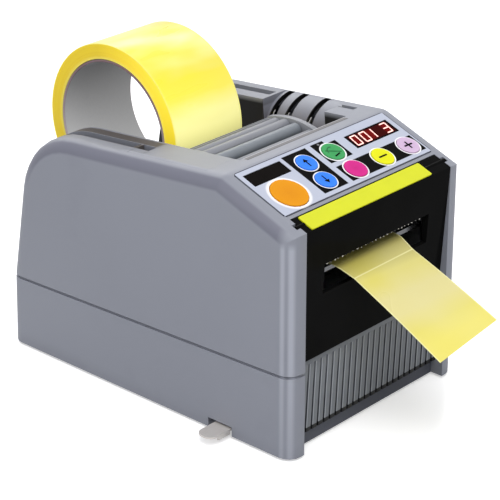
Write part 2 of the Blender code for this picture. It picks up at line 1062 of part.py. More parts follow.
def make_front_grille(finish):
    """Ribbed grille under the cover, with a plain band above and below its upright ribs."""
    low, high = grille_low_edge, cover_low_edge - clearance
    length = (high - low) / cos(front_lean)
    width = 2 * (front_half - clearance)
    middle = (low + high) / 2
    mount = empty(
        "front_grille_mount",
        machine(front_face_back(middle), middle),
        (pi / 2 - front_lean, 0, 0),
    )
    plate = prism(
        "front_grille",
        rectangle(width, length),
        grille_plate + rib_height,
        finish,
        at=(0, 0, -(grille_plate + rib_height) / 2),
        parent=mount,
    )
    pitch = width / rib_count
    groove = pitch * (1 - rib_width_share)
    comb = [(width / 2, 2 * rib_height), (-width / 2, 2 * rib_height), (-width / 2, rib_height)]
    for k in range(rib_count):
        u = -width / 2 + pitch * (k + 0.5)
        left, right = u - groove / 2, u + groove / 2
        comb += [(left, rib_height), (left, -rib_height), (right, -rib_height), (right, rib_height)]
    comb.append((width / 2, rib_height))
    cut(
        plate,
        prism(
            "rib_grooves",
            comb,
            length - 2 * grille_band,
            turn=(pi / 2, 0, 0),
            parent=mount,
        ),
    )
    return plate


def make_front_sill(finish):
    """Plain bar that closes the front under the grille."""
    back = front_face_back(grille_low_edge)
    return box(
        "front_sill",
        (-front_half + clearance, front_y + back, desk_gap),
        (front_half - clearance, front_y + back + sill_depth / 2, desk_gap + sill_height),
        finish,
    )


def make_keypad(finishes):
    mount = console_mount
    top = overlay_proud
    holes = [rectangle(*display_size, centre=on_console(display_centre))]
    holes.append(rectangle(*window_size, centre=on_console(window_centre)))
    holes.append(circle(lamp_radius, coarse_circle, on_console(lamp_centre)))
    for centre, radius in keys.values():
        holes.append(circle(radius + clearance, fine_circle, on_console(centre)))
    prism(
        "keypad_overlay",
        rounded(rectangle(overlay_width, overlay_length), [overlay_corner_radius] * 4),
        overlay_thickness,
        finishes["overlay"],
        holes=holes,
        at=(0, 0, top - overlay_thickness / 2),
        parent=mount,
    )
    for name, centre, size, finish in (
        ("display_lens", display_centre, display_size, "display"),
        ("window_lens", window_centre, window_size, "window"),
    ):
        u, v = on_console(centre)
        prism(
            name,
            rectangle(size[0] - 2 * clearance, size[1] - 2 * clearance),
            overlay_thickness,
            finishes[finish],
            at=(u, v, top - overlay_thickness / 2),
            parent=mount,
        )
    u, v = on_console(lamp_centre)
    board_top = -board_depth
    cylinder(
        "indicator_lamp",
        lamp_radius - clearance,
        overlay_thickness,
        finishes["lamp"],
        sides=coarse_circle,
        at=(u, v, top - overlay_thickness / 2),
        parent=mount,
    )
    for name, (centre, radius) in keys.items():
        u, v = on_console(centre)
        seat = empty(f"{name}_seat", (u, v, 0), parent=mount)
        cap_low = top - overlay_thickness
        key = cylinder(
            name,
            radius,
            key_proud + overlay_thickness,
            finishes[name],
            at=(0, 0, (top + key_proud + cap_low) / 2),
            parent=seat,
        )
        stem_low = board_top + switch_height() + key_travel + clearance
        join(
            key,
            cylinder(
                f"{name}_stem",
                key_stem_radius,
                cap_low - stem_low + overlay_thickness / 2,
                sides=coarse_circle,
                at=(0, 0, (cap_low + stem_low) / 2 + overlay_thickness / 4),
                parent=seat,
            ),
        )
    make_control_board(finishes, mount, board_top)


def switch_height():
    return board_depth / 2


def make_control_board(finishes, mount, board_top):
    """Circuit board under the console, with its key switches, and the display block on it."""
    width = overlay_width - board_margin
    length = overlay_length - board_margin
    board = prism(
        "control_board",
        rectangle(width, length),
        board_thickness,
        finishes["board"],
        at=(0, 0, board_top - board_thickness / 2),
        parent=mount,
    )
    for name, (centre, _) in keys.items():
        u, v = on_console(centre)
        join(
            board,
            box(
                f"{name}_switch",
                (u - switch_size / 2, v - switch_size / 2, board_top - board_thickness / 2),
                (u + switch_size / 2, v + switch_size / 2, board_top + switch_height()),
                parent=mount,
            ),
        )
    for s in (-1, 1):
        for t in (-1, 1):
            low, high = board_top - board_thickness / 2, -wall - clearance
            join(
                board,
                cylinder(
                    f"board_spacer_{s}_{t}",
                    board_spacer_radius,
                    high - low,
                    sides=coarse_circle,
                    at=(
                        s * (width / 2 - board_spacer_radius - clearance),
                        t * (length / 2 - board_spacer_radius - clearance),
                        (low + high) / 2,
                    ),
                    parent=mount,
                ),
            )
    u, v = on_console(display_centre)
    half_u, half_v = display_size[0] / 2, display_size[1] / 2
    box(
        "display_module",
        (u - half_u, v - half_v, board_top + clearance),
        (u + half_u, v + half_v, overlay_proud - overlay_thickness - clearance),
        finishes["module"],
        parent=mount,
    )


def make_guide_cover(finish, roller_finish, steel):
    """Arched cover over the tape's way in: two side rails, flat slats and one turning roller."""
    pivot_back, pivot_height = guide_pivot()
    hinge = empty("guide_cover_hinge", machine(pivot_back, pivot_height))
    front = well_front_back + guide_front_gap
    rear = front + guide_length

    def from_hinge(points):
        return [(b - pivot_back, z - pivot_height) for b, z in points]

    slats = arch_band(front, rear, guide_slat_drop, guide_slat_thickness)
    cover = prism(
        "guide_cover",
        from_hinge(slats),
        2 * guide_half_width - guide_rail_width,
        finish,
        turn=SIDE_VIEW,
        parent=hinge,
    )
    rail = from_hinge(arch_band(front, rear, 0, guide_rail_height))
    rail_middle = guide_half_width - guide_rail_width / 2
    for s in (-1, 1):
        join(
            cover,
            prism(
                f"guide_rail_{s}",
                rail,
                guide_rail_width,
                at=(s * rail_middle, 0, 0),
                turn=SIDE_VIEW,
                parent=hinge,
            ),
            cylinder(
                f"guide_pin_{s}",
                guide_pin_radius,
                well_half_width + wall - clearance - rail_middle,
                sides=coarse_circle,
                at=(s * (well_half_width + wall - clearance + rail_middle) / 2, 0, 0),
                turn=ALONG_X,
                parent=hinge,
            ),
        )
    roller_back = front + guide_roller_run
    roller_height = arch_height(roller_back) - guide_slat_drop - guide_roller_radius
    inner = guide_half_width - guide_rail_width
    start = front + guide_window_start
    window = box(
        "guide_window",
        (-inner, start - pivot_back, -pivot_height),
        (inner, start + guide_window_length - pivot_back, guide_length),
        parent=hinge,
    )
    cut(cover, window)
    for number, run in enumerate(slat_groove_runs):
        low = arch_height(front + run) - guide_slat_drop - slat_groove_depth
        cut(
            cover,
            box(
                f"slat_groove_{number}",
                (-inner, front + run - slat_groove_width / 2 - pivot_back, low - pivot_height),
                (inner, front + run + slat_groove_width / 2 - pivot_back, guide_length),
                parent=hinge,
            ),
        )
    axle_place = (0, roller_back - pivot_back, roller_height - pivot_height)
    axle_reach = guide_half_width - clearance
    cut(
        cover,
        cylinder(
            "guide_axle_holes",
            guide_axle_radius + clearance,
            2 * (guide_half_width + overrun),
            sides=coarse_circle,
            at=axle_place,
            turn=ALONG_X,
            parent=hinge,
        ),
    )
    cylinder(
        "guide_axle",
        guide_axle_radius,
        2 * axle_reach,
        steel,
        sides=coarse_circle,
        at=axle_place,
        turn=ALONG_X,
        parent=hinge,
    )
    roller_seat = empty("guide_roller_axis", axle_place, parent=hinge)
    prism(
        "guide_roller",
        circle(guide_roller_radius),
        2 * (inner - clearance),
        roller_finish,
        holes=[circle(guide_axle_radius + clearance, coarse_circle)],
        turn=SIDE_VIEW,
        parent=roller_seat,
    )


def support_places():
    """The support rollers' axes: back and height."""
    distance = roll_radius + support_radius + clearance
    angles = {"front": support_front_angle, "rear": support_rear_angle}
    return {
        end: (roll_back + distance * sin(angle), roll_height - distance * cos(angle))
        for end, angle in angles.items()
    }


def make_roll(tape, paper, rubber, steel):
    """Roll of tape on its paper core, and the two rollers that it lies on."""
    axis = empty("roll_axis", machine(roll_back, roll_height, tape_centre))
    prism(
        "tape_winding",
        circle(roll_radius, 2 * fine_circle),
        tape_width,
        tape,
        holes=[circle(core_outer_radius + clearance, 2 * fine_circle)],
        turn=SIDE_VIEW,
        parent=axis,
    )
    prism(
        "roll_core",
        circle(core_outer_radius, 2 * fine_circle),
        tape_width,
        paper,
        holes=[circle(core_outer_radius - core_thickness, 2 * fine_circle)],
        turn=SIDE_VIEW,
        parent=axis,
    )
    for end, (back, height) in support_places().items():
        seat = empty(f"support_{end}_axis", machine(back, height))
        prism(
            f"support_roller_{end}",
            circle(support_radius, coarse_circle),
            support_length,
            rubber,
            holes=[circle(support_axle_radius + clearance, coarse_circle)],
            turn=SIDE_VIEW,
            parent=seat,
        )
        cylinder(
            f"support_axle_{end}",
            support_axle_radius,
            2 * (well_half_width - clearance),
            steel,
            sides=coarse_circle,
            at=machine(back, height),
            turn=ALONG_X,
        )


def feed_height():
    return strip_height - clearance - feed_roller_radius


def pinch_height():
    return tape_top + clearance + pinch_roller_radius


def pinion_place():
    distance = gear_module * (feed_gear_teeth + pinion_teeth) / 2
    return feed_back + distance * cos(pinion_direction), feed_height() + distance * sin(pinion_direction)


def gear_outline(teeth, phase):
    """A spur gear's outline: each tooth has a root, two flanks and a flat tip."""
    pitch_radius = gear_module * teeth / 2
    root = pitch_radius - gear_root_share * gear_module
    tip = pitch_radius + gear_tip_share * gear_module
    foot, point = tooth_foot_share, tooth_tip_share
    tooth_shares = ((-foot, root), (-point, tip), (point, tip), (foot, root))
    points = []
    for k in range(teeth):
        for share, radius in tooth_shares:
            angle = 2 * pi * (k + share + phase) / teeth
            points.append((radius * cos(angle), radius * sin(angle)))
    return points


def make_feed_unit(finishes):
    """Sheet-metal frame with the feed and pinch rollers, their gears, the blades and both motors."""
    steel, dark = finishes["steel"], finishes["rubber"]
    outer, inner = frame_half_width, frame_half_width - frame_sheet
    floor = frame_low + frame_sheet
    u_shape = [
        (-outer, frame_low),
        (outer, frame_low),
        (outer, frame_high),
        (inner, frame_high),
        (inner, floor),
        (-inner, floor),
        (-inner, frame_high),
        (-outer, frame_high),
    ]
    frame_length = frame_rear_back - frame_front_back
    frame = prism(
        "feed_frame",
        u_shape,
        frame_length,
        finishes["plate"],
        at=machine(frame_front_back + frame_length / 2),
        turn=FRONT_VIEW,
    )
    pinion_back, pinion_height = pinion_place()
    hole_length = 2 * (outer + overrun)
    for name, radius, back, height in (
        ("feed_shaft_holes", feed_shaft_radius, feed_back, feed_height()),
        ("pinch_shaft_holes", pinch_shaft_radius, feed_back, pinch_height()),
        ("motor_shaft_holes", motor_shaft_radius, pinion_back, pinion_height),
    ):
        cut(
            frame,
            cylinder(
                name,
                radius + clearance,
                hole_length,
                sides=coarse_circle,
                at=machine(back, height),
                turn=ALONG_X,
            ),
        )

    feed_axis = empty("feed_axis", machine(feed_back, feed_height()))
    prism(
        "feed_roller",
        circle(feed_roller_radius),
        feed_roller_length,
        dark,
        holes=[circle(feed_shaft_radius + clearance, coarse_circle)],
        turn=SIDE_VIEW,
        parent=feed_axis,
    )
    gear_start = outer + 2 * clearance
    gear_end = gear_start + gear_width
    shaft_left = -outer - overrun / 2
    cylinder(
        "feed_shaft",
        feed_shaft_radius,
        gear_end + overrun / 2 - shaft_left,
        steel,
        sides=coarse_circle,
        at=((gear_end + overrun / 2 + shaft_left) / 2, 0, 0),
        turn=ALONG_X,
        parent=feed_axis,
    )
    prism(
        "feed_gear",
        gear_outline(feed_gear_teeth, 0),
        gear_width,
        finishes["gear"],
        holes=[circle(feed_shaft_radius + clearance, coarse_circle)],
        at=((gear_start + gear_end) / 2, 0, 0),
        turn=SIDE_VIEW,
        parent=feed_axis,
    )
    pinion_axis = empty("pinion_axis", machine(pinion_back, pinion_height))
    # The pinion's gap faces the feed gear's tooth on the line between the two centres
    gear_phase = (pinion_direction / (2 * pi) * feed_gear_teeth) % 1
    toward = (pinion_direction + pi) / (2 * pi) * pinion_teeth
    prism(
        "motor_pinion",
        gear_outline(pinion_teeth, toward + 0.5 + gear_phase),
        gear_width,
        finishes["brass"],
        holes=[circle(motor_shaft_radius + clearance, coarse_circle)],
        at=((gear_start + gear_end) / 2, 0, 0),
        turn=SIDE_VIEW,
        parent=pinion_axis,
    )
    pinch_axis = empty("pinch_axis", machine(feed_back, pinch_height()))
    pinch = cylinder(
        "pinch_roller",
        pinch_roller_radius,
        feed_roller_length,
        dark,
        turn=ALONG_X,
        parent=pinch_axis,
    )
    join(
        pinch,
        cylinder(
            "pinch_shaft",
            pinch_shaft_radius,
            2 * outer,
            sides=coarse_circle,
            turn=ALONG_X,
            parent=pinch_axis,
        ),
    )
    motor_middle = inner - clearance - motor_length / 2
    crank_back, crank_height = pinion_back, pinion_height
    for name, s in (("feed_motor", 1), ("cutter_motor", -1)):
        motor = cylinder(
            name,
            motor_radius,
            motor_length,
            finishes["motor"],
            at=machine(pinion_back, pinion_height, s * motor_middle),
            turn=ALONG_X,
        )
        shaft_end = gear_end if s > 0 else outer + 2 * clearance + crank_thickness
        shaft_start = inner - clearance - motor_length / 2
        join(
            motor,
            cylinder(
                f"{name}_shaft",
                motor_shaft_radius,
                shaft_end - shaft_start,
                sides=coarse_circle,
                at=machine(pinion_back, pinion_height, s * (shaft_end + shaft_start) / 2),
                turn=ALONG_X,
            ),
        )
    make_cutter(finishes, crank_back, crank_height)


def make_cutter(finishes, crank_back, crank_height):
    """Fixed lower blade, and the toothed upper blade that a crank pin drives by a slotted yoke."""
    outer = frame_half_width
    blade_back = frame_front_back - clearance - blade_thickness
    fixed_top = strip_height - clearance
    box(
        "fixed_blade",
        (-outer + frame_sheet + clearance, front_y + frame_front_back, fixed_top - fixed_blade_height),
        (
            outer - frame_sheet - clearance,
            front_y + frame_front_back + fixed_blade_depth,
            fixed_top,
        ),
        finishes["blade"],
    )
    low = tape_top + blade_lift
    teeth = math.floor(2 * outer / blade_tooth_pitch)
    pitch = 2 * outer / teeth
    top = low + blade_height
    tab = top - yoke_tab_height - 2 * yoke_margin
    outline = [(outer, low + blade_tooth_height), (outer, top), (-outer - blade_overhang, top)]
    outline += [(-outer - blade_overhang, tab), (-outer, tab), (-outer, low + blade_tooth_height)]
    for k in range(teeth):
        u = -outer + pitch * k
        outline.append((u + pitch / 2, low))
        if k < teeth - 1:
            outline.append((u + pitch, low + blade_tooth_height))
    blade_middle = blade_back + blade_thickness / 2
    carriage = empty("blade_carriage", machine(blade_middle))
    prism(
        "moving_blade",
        outline,
        blade_thickness,
        finishes["blade"],
        turn=FRONT_VIEW,
        parent=carriage,
    )
    crank_start = outer + 2 * clearance
    crank_end = crank_start + crank_thickness
    throw = blade_stroke / 2
    yoke_middle = crank_end + clearance + yoke_thickness / 2
    make_yoke(finishes["plate"], carriage, blade_middle, yoke_middle, crank_back, crank_height + throw)
    crank_axis = empty("crank_axis", machine(crank_back, crank_height))
    crank = cylinder(
        "cutter_crank",
        crank_radius,
        crank_thickness,
        finishes["brass"],
        at=(-(crank_start + crank_end) / 2, 0, 0),
        turn=ALONG_X,
        parent=crank_axis,
    )
    pin_end = yoke_middle + yoke_thickness
    join(
        crank,
        cylinder(
            "crank_pin",
            crank_pin_radius,
            pin_end - crank_start - clearance,
            sides=coarse_circle,
            at=(-(pin_end + crank_start + clearance) / 2, 0, throw),
            turn=ALONG_X,
            parent=crank_axis,
        ),
    )
    cut(
        crank,
        cylinder(
            "crank_bore",
            motor_shaft_radius + clearance,
            2 * crank_end,
            sides=coarse_circle,
            turn=ALONG_X,
            parent=crank_axis,
        ),
    )


def make_yoke(finish, carriage, blade_middle, side, pin_back, pin_height):
    """Arm that rides with the blade: the crank pin runs in its level slot and so lifts and lowers it."""
    front = blade_thickness / 2 + clearance
    back = pin_back - blade_middle
    half_length = blade_stroke / 2 + crank_pin_radius + yoke_play / 2
    half_height = crank_pin_radius + yoke_play
    low = pin_height - half_height - yoke_margin
    high = pin_height + half_height + yoke_margin
    blade_top = tape_top + blade_lift + blade_height
    tab_high = blade_top - yoke_margin
    tab_low = tab_high - yoke_tab_height
    outline = [
        (front, tab_low),
        (back - half_length - yoke_margin, low),
        (back + half_length + yoke_margin, low),
        (back + half_length + yoke_margin, high),
        (back - half_length + yoke_margin, high),
        (front + 2 * yoke_margin, tab_high),
        (front, tab_high),
    ]
    slot = rounded(
        rectangle(2 * half_length, 2 * half_height, (back, pin_height)), [half_height / 2] * 4
    )
    yoke = prism(
        "blade_yoke",
        outline,
        yoke_thickness,
        finish,
        holes=[slot],
        at=(-side, 0, 0),
        turn=SIDE_VIEW,
        parent=carriage,
    )
    join(
        yoke,
        box(
            "yoke_tab",
            (-side, front, tab_low),
            (-frame_half_width - 2 * clearance, front + yoke_thickness, tab_high),
            parent=carriage,
        ),
    )


def make_tape_strip(finish):
    """The tape from the feed rollers out through the outlet, creased there and a little twisted."""
    flat = [(strip_start_back, strip_height), (strip_bend_back, strip_height)]
    edges = []
    for crease, end in (
        (strip_crease_left, strip_end_left),
        (strip_crease_right, strip_end_right),
    ):
        points = flat + [crease]
        for k in range(1, strip_steps + 1):
            share = k / strip_steps
            points.append(tuple((1 - share) * a + share * b for a, b in zip(crease, end)))
        edges.append(points)
    shape = bmesh.new()
    rows = []
    for rise in (0, strip_thickness):
        for side, points in zip((-tape_width / 2, tape_width / 2), edges):
            rows.append([shape.verts.new((side, back, height + rise)) for back, height in points])
    low_left, low_right, high_left, high_right = rows
    last = len(flat) + strip_steps
    for i in range(last):
        j = i + 1
        # The twist makes these faces uneven, so both sides are split along the same corners.
        for left, right in ((low_left, low_right), (high_left, high_right)):
            shape.faces.new((left[i], right[i], right[j]))
            shape.faces.new((left[i], right[j], left[j]))
        for a, b in ((high_left, low_left), (low_right, high_right)):
            shape.faces.new((a[i], b[i], b[j], a[j]))
    for i in (0, last):
        shape.faces.new((low_left[i], low_right[i], high_right[i], high_left[i]))
    bmesh.ops.recalc_face_normals(shape, faces=shape.faces)
    mesh = bpy.data.meshes.new("tape_strip")
    shape.to_mesh(mesh)
    shape.free()
    return put("tape_strip", mesh, finish, at=machine(0, 0, tape_centre))


def make_side_lever(finish, steel):
    """Bent sheet lever whose rounded tip sticks out of the slot in the base's left side."""
    hinge = empty("lever_hinge", machine(lever_back, 0, -lever_pivot_side))
    tip = body_width / 2 + lever_reach - lever_pivot_side
    half = lever_width / 2
    outline = [(-tip, -half), (half, -half), (half, half), (-tip, half)]
    radii = [half * lever_corner_share] * 4
    lever = prism(
        "release_lever",
        rounded(outline, radii),
        lever_sheet,
        finish,
        at=(0, 0, lever_height + lever_sheet / 2),
        parent=hinge,
    )
    out = body_width / 2 - lever_pivot_side + clearance
    join(
        lever,
        box(
            "lever_lip",
            (-tip + half, -half, lever_height - lever_lip),
            (-out, -half + lever_sheet, lever_height + lever_sheet / 2),
            parent=hinge,
        ),
    )
    cut(
        lever,
        cylinder(
            "lever_bore",
            lever_pin_radius + clearance,
            4 * lever_height,
            sides=coarse_circle,
            parent=hinge,
        ),
    )
    low = desk_gap + clearance
    high = lever_height + lever_sheet + clearance
    pin = cylinder(
        "lever_pin",
        lever_pin_radius,
        high + lever_sheet - low,
        steel,
        sides=coarse_circle,
        at=machine(lever_back, (high + lever_sheet + low) / 2, -lever_pivot_side),
    )
    join(
        pin,
        cylinder(
            "lever_pin_head",
            lever_pin_head_radius,
            lever_sheet,
            sides=coarse_circle,
            at=machine(lever_back, high + lever_sheet / 2, -lever_pivot_side),
        ),
    )


def make_rear_fittings(base, finishes):
    """Power inlet and rocker switch in the leaning rear wall."""
    turn = (base_rear_lean - pi / 2, 0, 0)
    back = rear_back(rear_fitting_height)
    inlet_mount = empty("inlet_mount", machine(back, rear_fitting_height, inlet_side), turn)
    switch_mount = empty("switch_mount", machine(back, rear_fitting_height, switch_side), turn)
    cut(
        base,
        cylinder("inlet_hole", inlet_radius + clearance, 4 * wall, parent=inlet_mount),
        prism(
            "switch_hole",
            rectangle(bezel_body_width + 2 * clearance, bezel_body_length + 2 * clearance),
            4 * wall,
            parent=switch_mount,
        ),
    )
    inlet = cylinder(
        "dc_inlet",
        inlet_flange_radius,
        inlet_flange_thickness,
        finishes["black"],
        at=(0, 0, clearance + inlet_flange_thickness / 2),
        parent=inlet_mount,
    )
    join(
        inlet,
        cylinder(
            "inlet_barrel",
            inlet_radius,
            inlet_length,
            at=(0, 0, clearance + inlet_flange_thickness / 2 - inlet_length / 2),
            parent=inlet_mount,
        ),
    )
    face = clearance + inlet_flange_thickness
    cut(
        inlet,
        prism(
            "inlet_socket",
            circle(inlet_bore_radius),
            2 * inlet_bore_depth,
            holes=[circle(inlet_pin_radius, coarse_circle)],
            at=(0, 0, face),
            parent=inlet_mount,
        ),
    )
    bezel = prism(
        "switch_bezel",
        rectangle(bezel_width, bezel_length),
        bezel_flange,
        finishes["black"],
        at=(0, 0, clearance + bezel_flange / 2),
        parent=switch_mount,
    )
    join(
        bezel,
        prism(
            "bezel_body",
            rectangle(bezel_body_width, bezel_body_length),
            bezel_body_depth,
            at=(0, 0, clearance + bezel_flange / 2 - bezel_body_depth / 2),
            parent=switch_mount,
        ),
    )
    pocket = (rocker_width + 2 * clearance, rocker_length + 4 * clearance)
    cut(
        bezel,
        prism(
            "rocker_pocket",
            rectangle(*pocket),
            2 * bezel_body_depth - 2 * wall,
            at=(0, 0, clearance + bezel_flange / 2),
            parent=switch_mount,
        ),
    )
    pivot = empty("rocker_hinge", (0, 0, 0), (rocker_tilt, 0, 0), parent=switch_mount)
    half = rocker_length / 2
    face = clearance + bezel_flange
    outline = [
        (-half, -rocker_depth),
        (half, -rocker_depth),
        (half, face + half * tan(rocker_tilt)),
        (0, face),
        (-half, face + half * tan(rocker_tilt)),
    ]
    prism("power_rocker", outline, rocker_width, finishes["black"], turn=SIDE_VIEW, parent=pivot)


def make_finishes():
    keys_colors = {
        "start_key": (0.91, 0.38, 0.01),
        "up_key": (0.03, 0.18, 0.92),
        "down_key": (0.03, 0.18, 0.92),
        "mode_key": (0.045, 0.40, 0.11),
        "select_key": (0.75, 0.026, 0.30),
        "minus_key": (0.91, 0.91, 0.01),
        "plus_key": (0.75, 0.55, 0.79),
    }
    finishes = {
        "housing": material("grey_housing", (0.26, 0.27, 0.31), 0.38),
        "grille": material("grey_grille", (0.16, 0.17, 0.19), 0.45),
        "sill": material("slate_sill", (0.07, 0.08, 0.10), 0.5),
        "cover": material("gloss_black", (0.008, 0.008, 0.008), 0.12),
        "overlay": material("overlay_print", (0.48, 0.51, 0.63), 0.35),
        "display": material("display_red", (0.10, 0.0, 0.0), 0.15),
        "window": material("window_black", (0.01, 0.01, 0.01), 0.2),
        "lamp": material("lamp_grey", (0.2, 0.2, 0.2), 0.3),
        "board": material("board_green", (0.02, 0.12, 0.05), 0.5),
        "module": material("display_block", (0.02, 0.02, 0.02), 0.5),
        "guide": material("grey_guide", (0.29, 0.30, 0.32), 0.4),
        "roller": material("grey_roller", (0.27, 0.29, 0.33), 0.3),
        "tape": material("yellow_tape", (0.95, 0.80, 0.10), 0.2),
        "paper": material("grey_core", (0.42, 0.40, 0.38), 0.8),
        "rubber": material("black_rubber", (0.02, 0.02, 0.02), 0.7),
        "steel": material("bright_steel", (0.6, 0.6, 0.6), 0.25, 1.0),
        "plate": material("zinc_plate", (0.45, 0.46, 0.47), 0.4, 1.0),
        "blade": material("blade_steel", (0.7, 0.7, 0.72), 0.2, 1.0),
        "gear": material("white_gear", (0.8, 0.8, 0.77), 0.45),
        "brass": material("brass_gear", (0.7, 0.5, 0.2), 0.3, 1.0),
        "motor": material("motor_can", (0.35, 0.35, 0.36), 0.35, 1.0),
        "lever": material("satin_lever", (0.6, 0.56, 0.53), 0.35, 0.6),
        "black": material("black_plastic", (0.015, 0.015, 0.015), 0.4),
    }
    for name, color in keys_colors.items():
        finishes[name] = material(f"{name}_print", color, 0.35)
    return finishes


def build():
    clear_scene()
    finishes = make_finishes()
    make_upper_housing(finishes["housing"])
    base = make_base_tray(finishes["housing"])
    make_feet(finishes["rubber"])
    make_screws(finishes["steel"])
    make_front_cover(finishes["cover"])
    make_front_grille(finishes["grille"])
    make_front_sill(finishes["sill"])
    make_keypad(finishes)
    make_guide_cover(finishes["guide"], finishes["roller"], finishes["steel"])
    make_roll(finishes["tape"], finishes["paper"], finishes["rubber"], finishes["steel"])
    make_feed_unit(finishes)
    make_tape_strip(finishes["tape"])
    make_side_lever(finishes["lever"], finishes["steel"])
    make_rear_fittings(base, finishes)


build()
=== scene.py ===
import json
from math import atan2, cos, hypot, pi, radians, sin, sqrt, tan

import bmesh
import bpy
from mathutils import Matrix, Vector


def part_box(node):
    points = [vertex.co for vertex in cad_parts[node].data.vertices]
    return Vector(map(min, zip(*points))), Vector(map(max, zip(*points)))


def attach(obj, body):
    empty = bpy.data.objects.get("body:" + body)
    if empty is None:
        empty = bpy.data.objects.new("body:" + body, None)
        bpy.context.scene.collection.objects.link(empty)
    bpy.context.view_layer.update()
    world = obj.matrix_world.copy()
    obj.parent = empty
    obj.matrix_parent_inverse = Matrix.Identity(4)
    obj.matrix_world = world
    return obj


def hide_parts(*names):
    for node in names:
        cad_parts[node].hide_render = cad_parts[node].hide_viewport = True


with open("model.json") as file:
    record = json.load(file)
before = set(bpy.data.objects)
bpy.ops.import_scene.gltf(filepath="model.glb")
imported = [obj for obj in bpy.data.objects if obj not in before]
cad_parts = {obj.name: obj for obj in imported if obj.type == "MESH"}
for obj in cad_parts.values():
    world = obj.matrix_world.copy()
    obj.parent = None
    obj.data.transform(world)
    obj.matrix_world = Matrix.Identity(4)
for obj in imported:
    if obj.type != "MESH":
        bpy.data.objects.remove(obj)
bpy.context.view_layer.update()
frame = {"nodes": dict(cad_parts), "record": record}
bpy.ops.object.select_all(action="DESELECT")

# Camera. A long lens above the front left corner, aimed down over the keypad. Its place, turn and
# view come from the housing's straight edges.
eye = Vector((-0.77333, -0.71198, 0.54316))
sight = Vector((0.676770, 0.609366, -0.413104))
half_view = radians(6.893)
bpy.ops.object.camera_add(location=eye, rotation=sight.to_track_quat("-Z", "Y").to_euler())
camera = bpy.context.object
camera.data.sensor_width = 36
camera.data.lens = camera.data.sensor_width / 2 / tan(half_view)
camera.data.clip_start = 0.01
bpy.context.scene.camera = camera


# Floor. A wide sheet of white gloss board under the machine. It takes a soft shadow and a faint
# reflection, and is white to the camera.
class Tone:
    """One socket of a finish's nodes; sums and products of Tones add their Math nodes."""

    def __init__(self, tree, socket):
        self.tree, self.socket = tree, socket

    def node(self, kind, settings, values, out=0):
        """Any other node, from its type, its settings and the values or Tones of its sockets."""
        made = self.tree.nodes.new(kind)
        for key, value in settings.items():
            setattr(made, key, value)
        for key, value in values.items():
            if isinstance(value, Tone):
                self.tree.links.new(value.socket, made.inputs[key])
            else:
                made.inputs[key].default_value = value
        return Tone(self.tree, made.outputs[out])

    def maths(self, operation, *values):
        return self.node("ShaderNodeMath", {"operation": operation}, dict(enumerate(values)))

    def __add__(self, other):
        return self.maths("ADD", self, other)

    def __sub__(self, other):
        return self.maths("SUBTRACT", self, other)

    def __mul__(self, other):
        return self.maths("MULTIPLY", self, other)

    def __pow__(self, other):
        return self.maths("POWER", self, other)

    def __rsub__(self, other):
        return self.maths("SUBTRACT", other, self)

    __radd__, __rmul__ = __add__, __mul__


def shade(red, green, blue):
    """A colour as seen, from 0 to 255, turned to the light it sends back."""
    seen = [v / 255 for v in (red, green, blue)]
    return (*[v / 12.92 if v <= 0.04045 else ((v + 0.055) / 1.055) ** 2.4 for v in seen], 1)


def new_finish(name, gloss=0.5, **fixed):
    """A new material with what is the same all over it, its shader, and the place on the object."""
    made = bpy.data.materials.new(name)
    made.use_nodes = True
    tree = made.node_tree
    shader = tree.nodes["Principled BSDF"]
    shader.inputs["Specular IOR Level"].default_value = gloss
    for key, value in fixed.items():
        shader.inputs[key.replace("_", " ").title()].default_value = value
    return made, shader, Tone(tree, tree.nodes.new("ShaderNodeTexCoord").outputs["Object"])


def lay(shader, height=None, depth=0.0, **varying):
    """Joins what changes over a surface to its shader, with its relief as deep as given."""
    tree = shader.id_data
    if height is not None:
        relief = height.node("ShaderNodeBump", {}, {"Height": height, "Distance": depth})
        tree.links.new(relief.socket, shader.inputs["Normal"])
    for key, value in varying.items():
        socket = shader.inputs[key.replace("_", " ").title()]
        if isinstance(value, Tone):
            tree.links.new(value.socket, socket)
        else:
            socket.default_value = value


def grain(place, size, detail=2.0, rough=0.5):
    """Clouds about as large as the given size in metres, from 0 to 1."""
    values = {"Vector": place, "Scale": 1 / size, "Detail": detail, "Roughness": rough}
    return place.node("ShaderNodeTexNoise", {}, values)


def extreme(operation, first, *others):
    """The least or the largest of several Tones, by MINIMUM or MAXIMUM."""
    for tone in others:
        first = first.maths(operation, first, tone)
    return first


def mixed(share, first, second):
    """Two colours mixed by a share from 0 to 1. Three numbers are a colour as seen, four are light."""
    first, second = (shade(*c) if isinstance(c, tuple) and len(c) == 3 else c for c in (first, second))
    return share.node("ShaderNodeMix", {"data_type": "RGBA"}, {0: share, 6: first, 7: second}, 2)


def spread(tone, low, high, start=0.0, end=1.0):
    """A Tone's values from low to high taken to those from start to end, and held there."""
    values = {"Value": tone, "From Min": low, "From Max": high, "To Min": start, "To Max": end}
    return tone.node("ShaderNodeMapRange", {"clamp": True}, values)


no_light = (0, 0, 0, 1)
bpy.ops.mesh.primitive_plane_add(size=8)
floor = bpy.context.object
floor.name = "floor"
board_white, shader, place = new_finish(
    "white_board", roughness=0.16, gloss=0.35, emission_strength=1
)
seen = place.node("ShaderNodeLightPath", {}, {}, "Is Camera Ray")
clouds = grain(place, 0.3)
lay(
    shader, base_color=mixed(seen, (226, 227, 229), (250, 250, 252)),
    emission_color=mixed(seen, no_light, (0.45, 0.45, 0.45, 1)), roughness=0.14 + clouds * 0.06,
)
floor.data.materials.append(board_white)


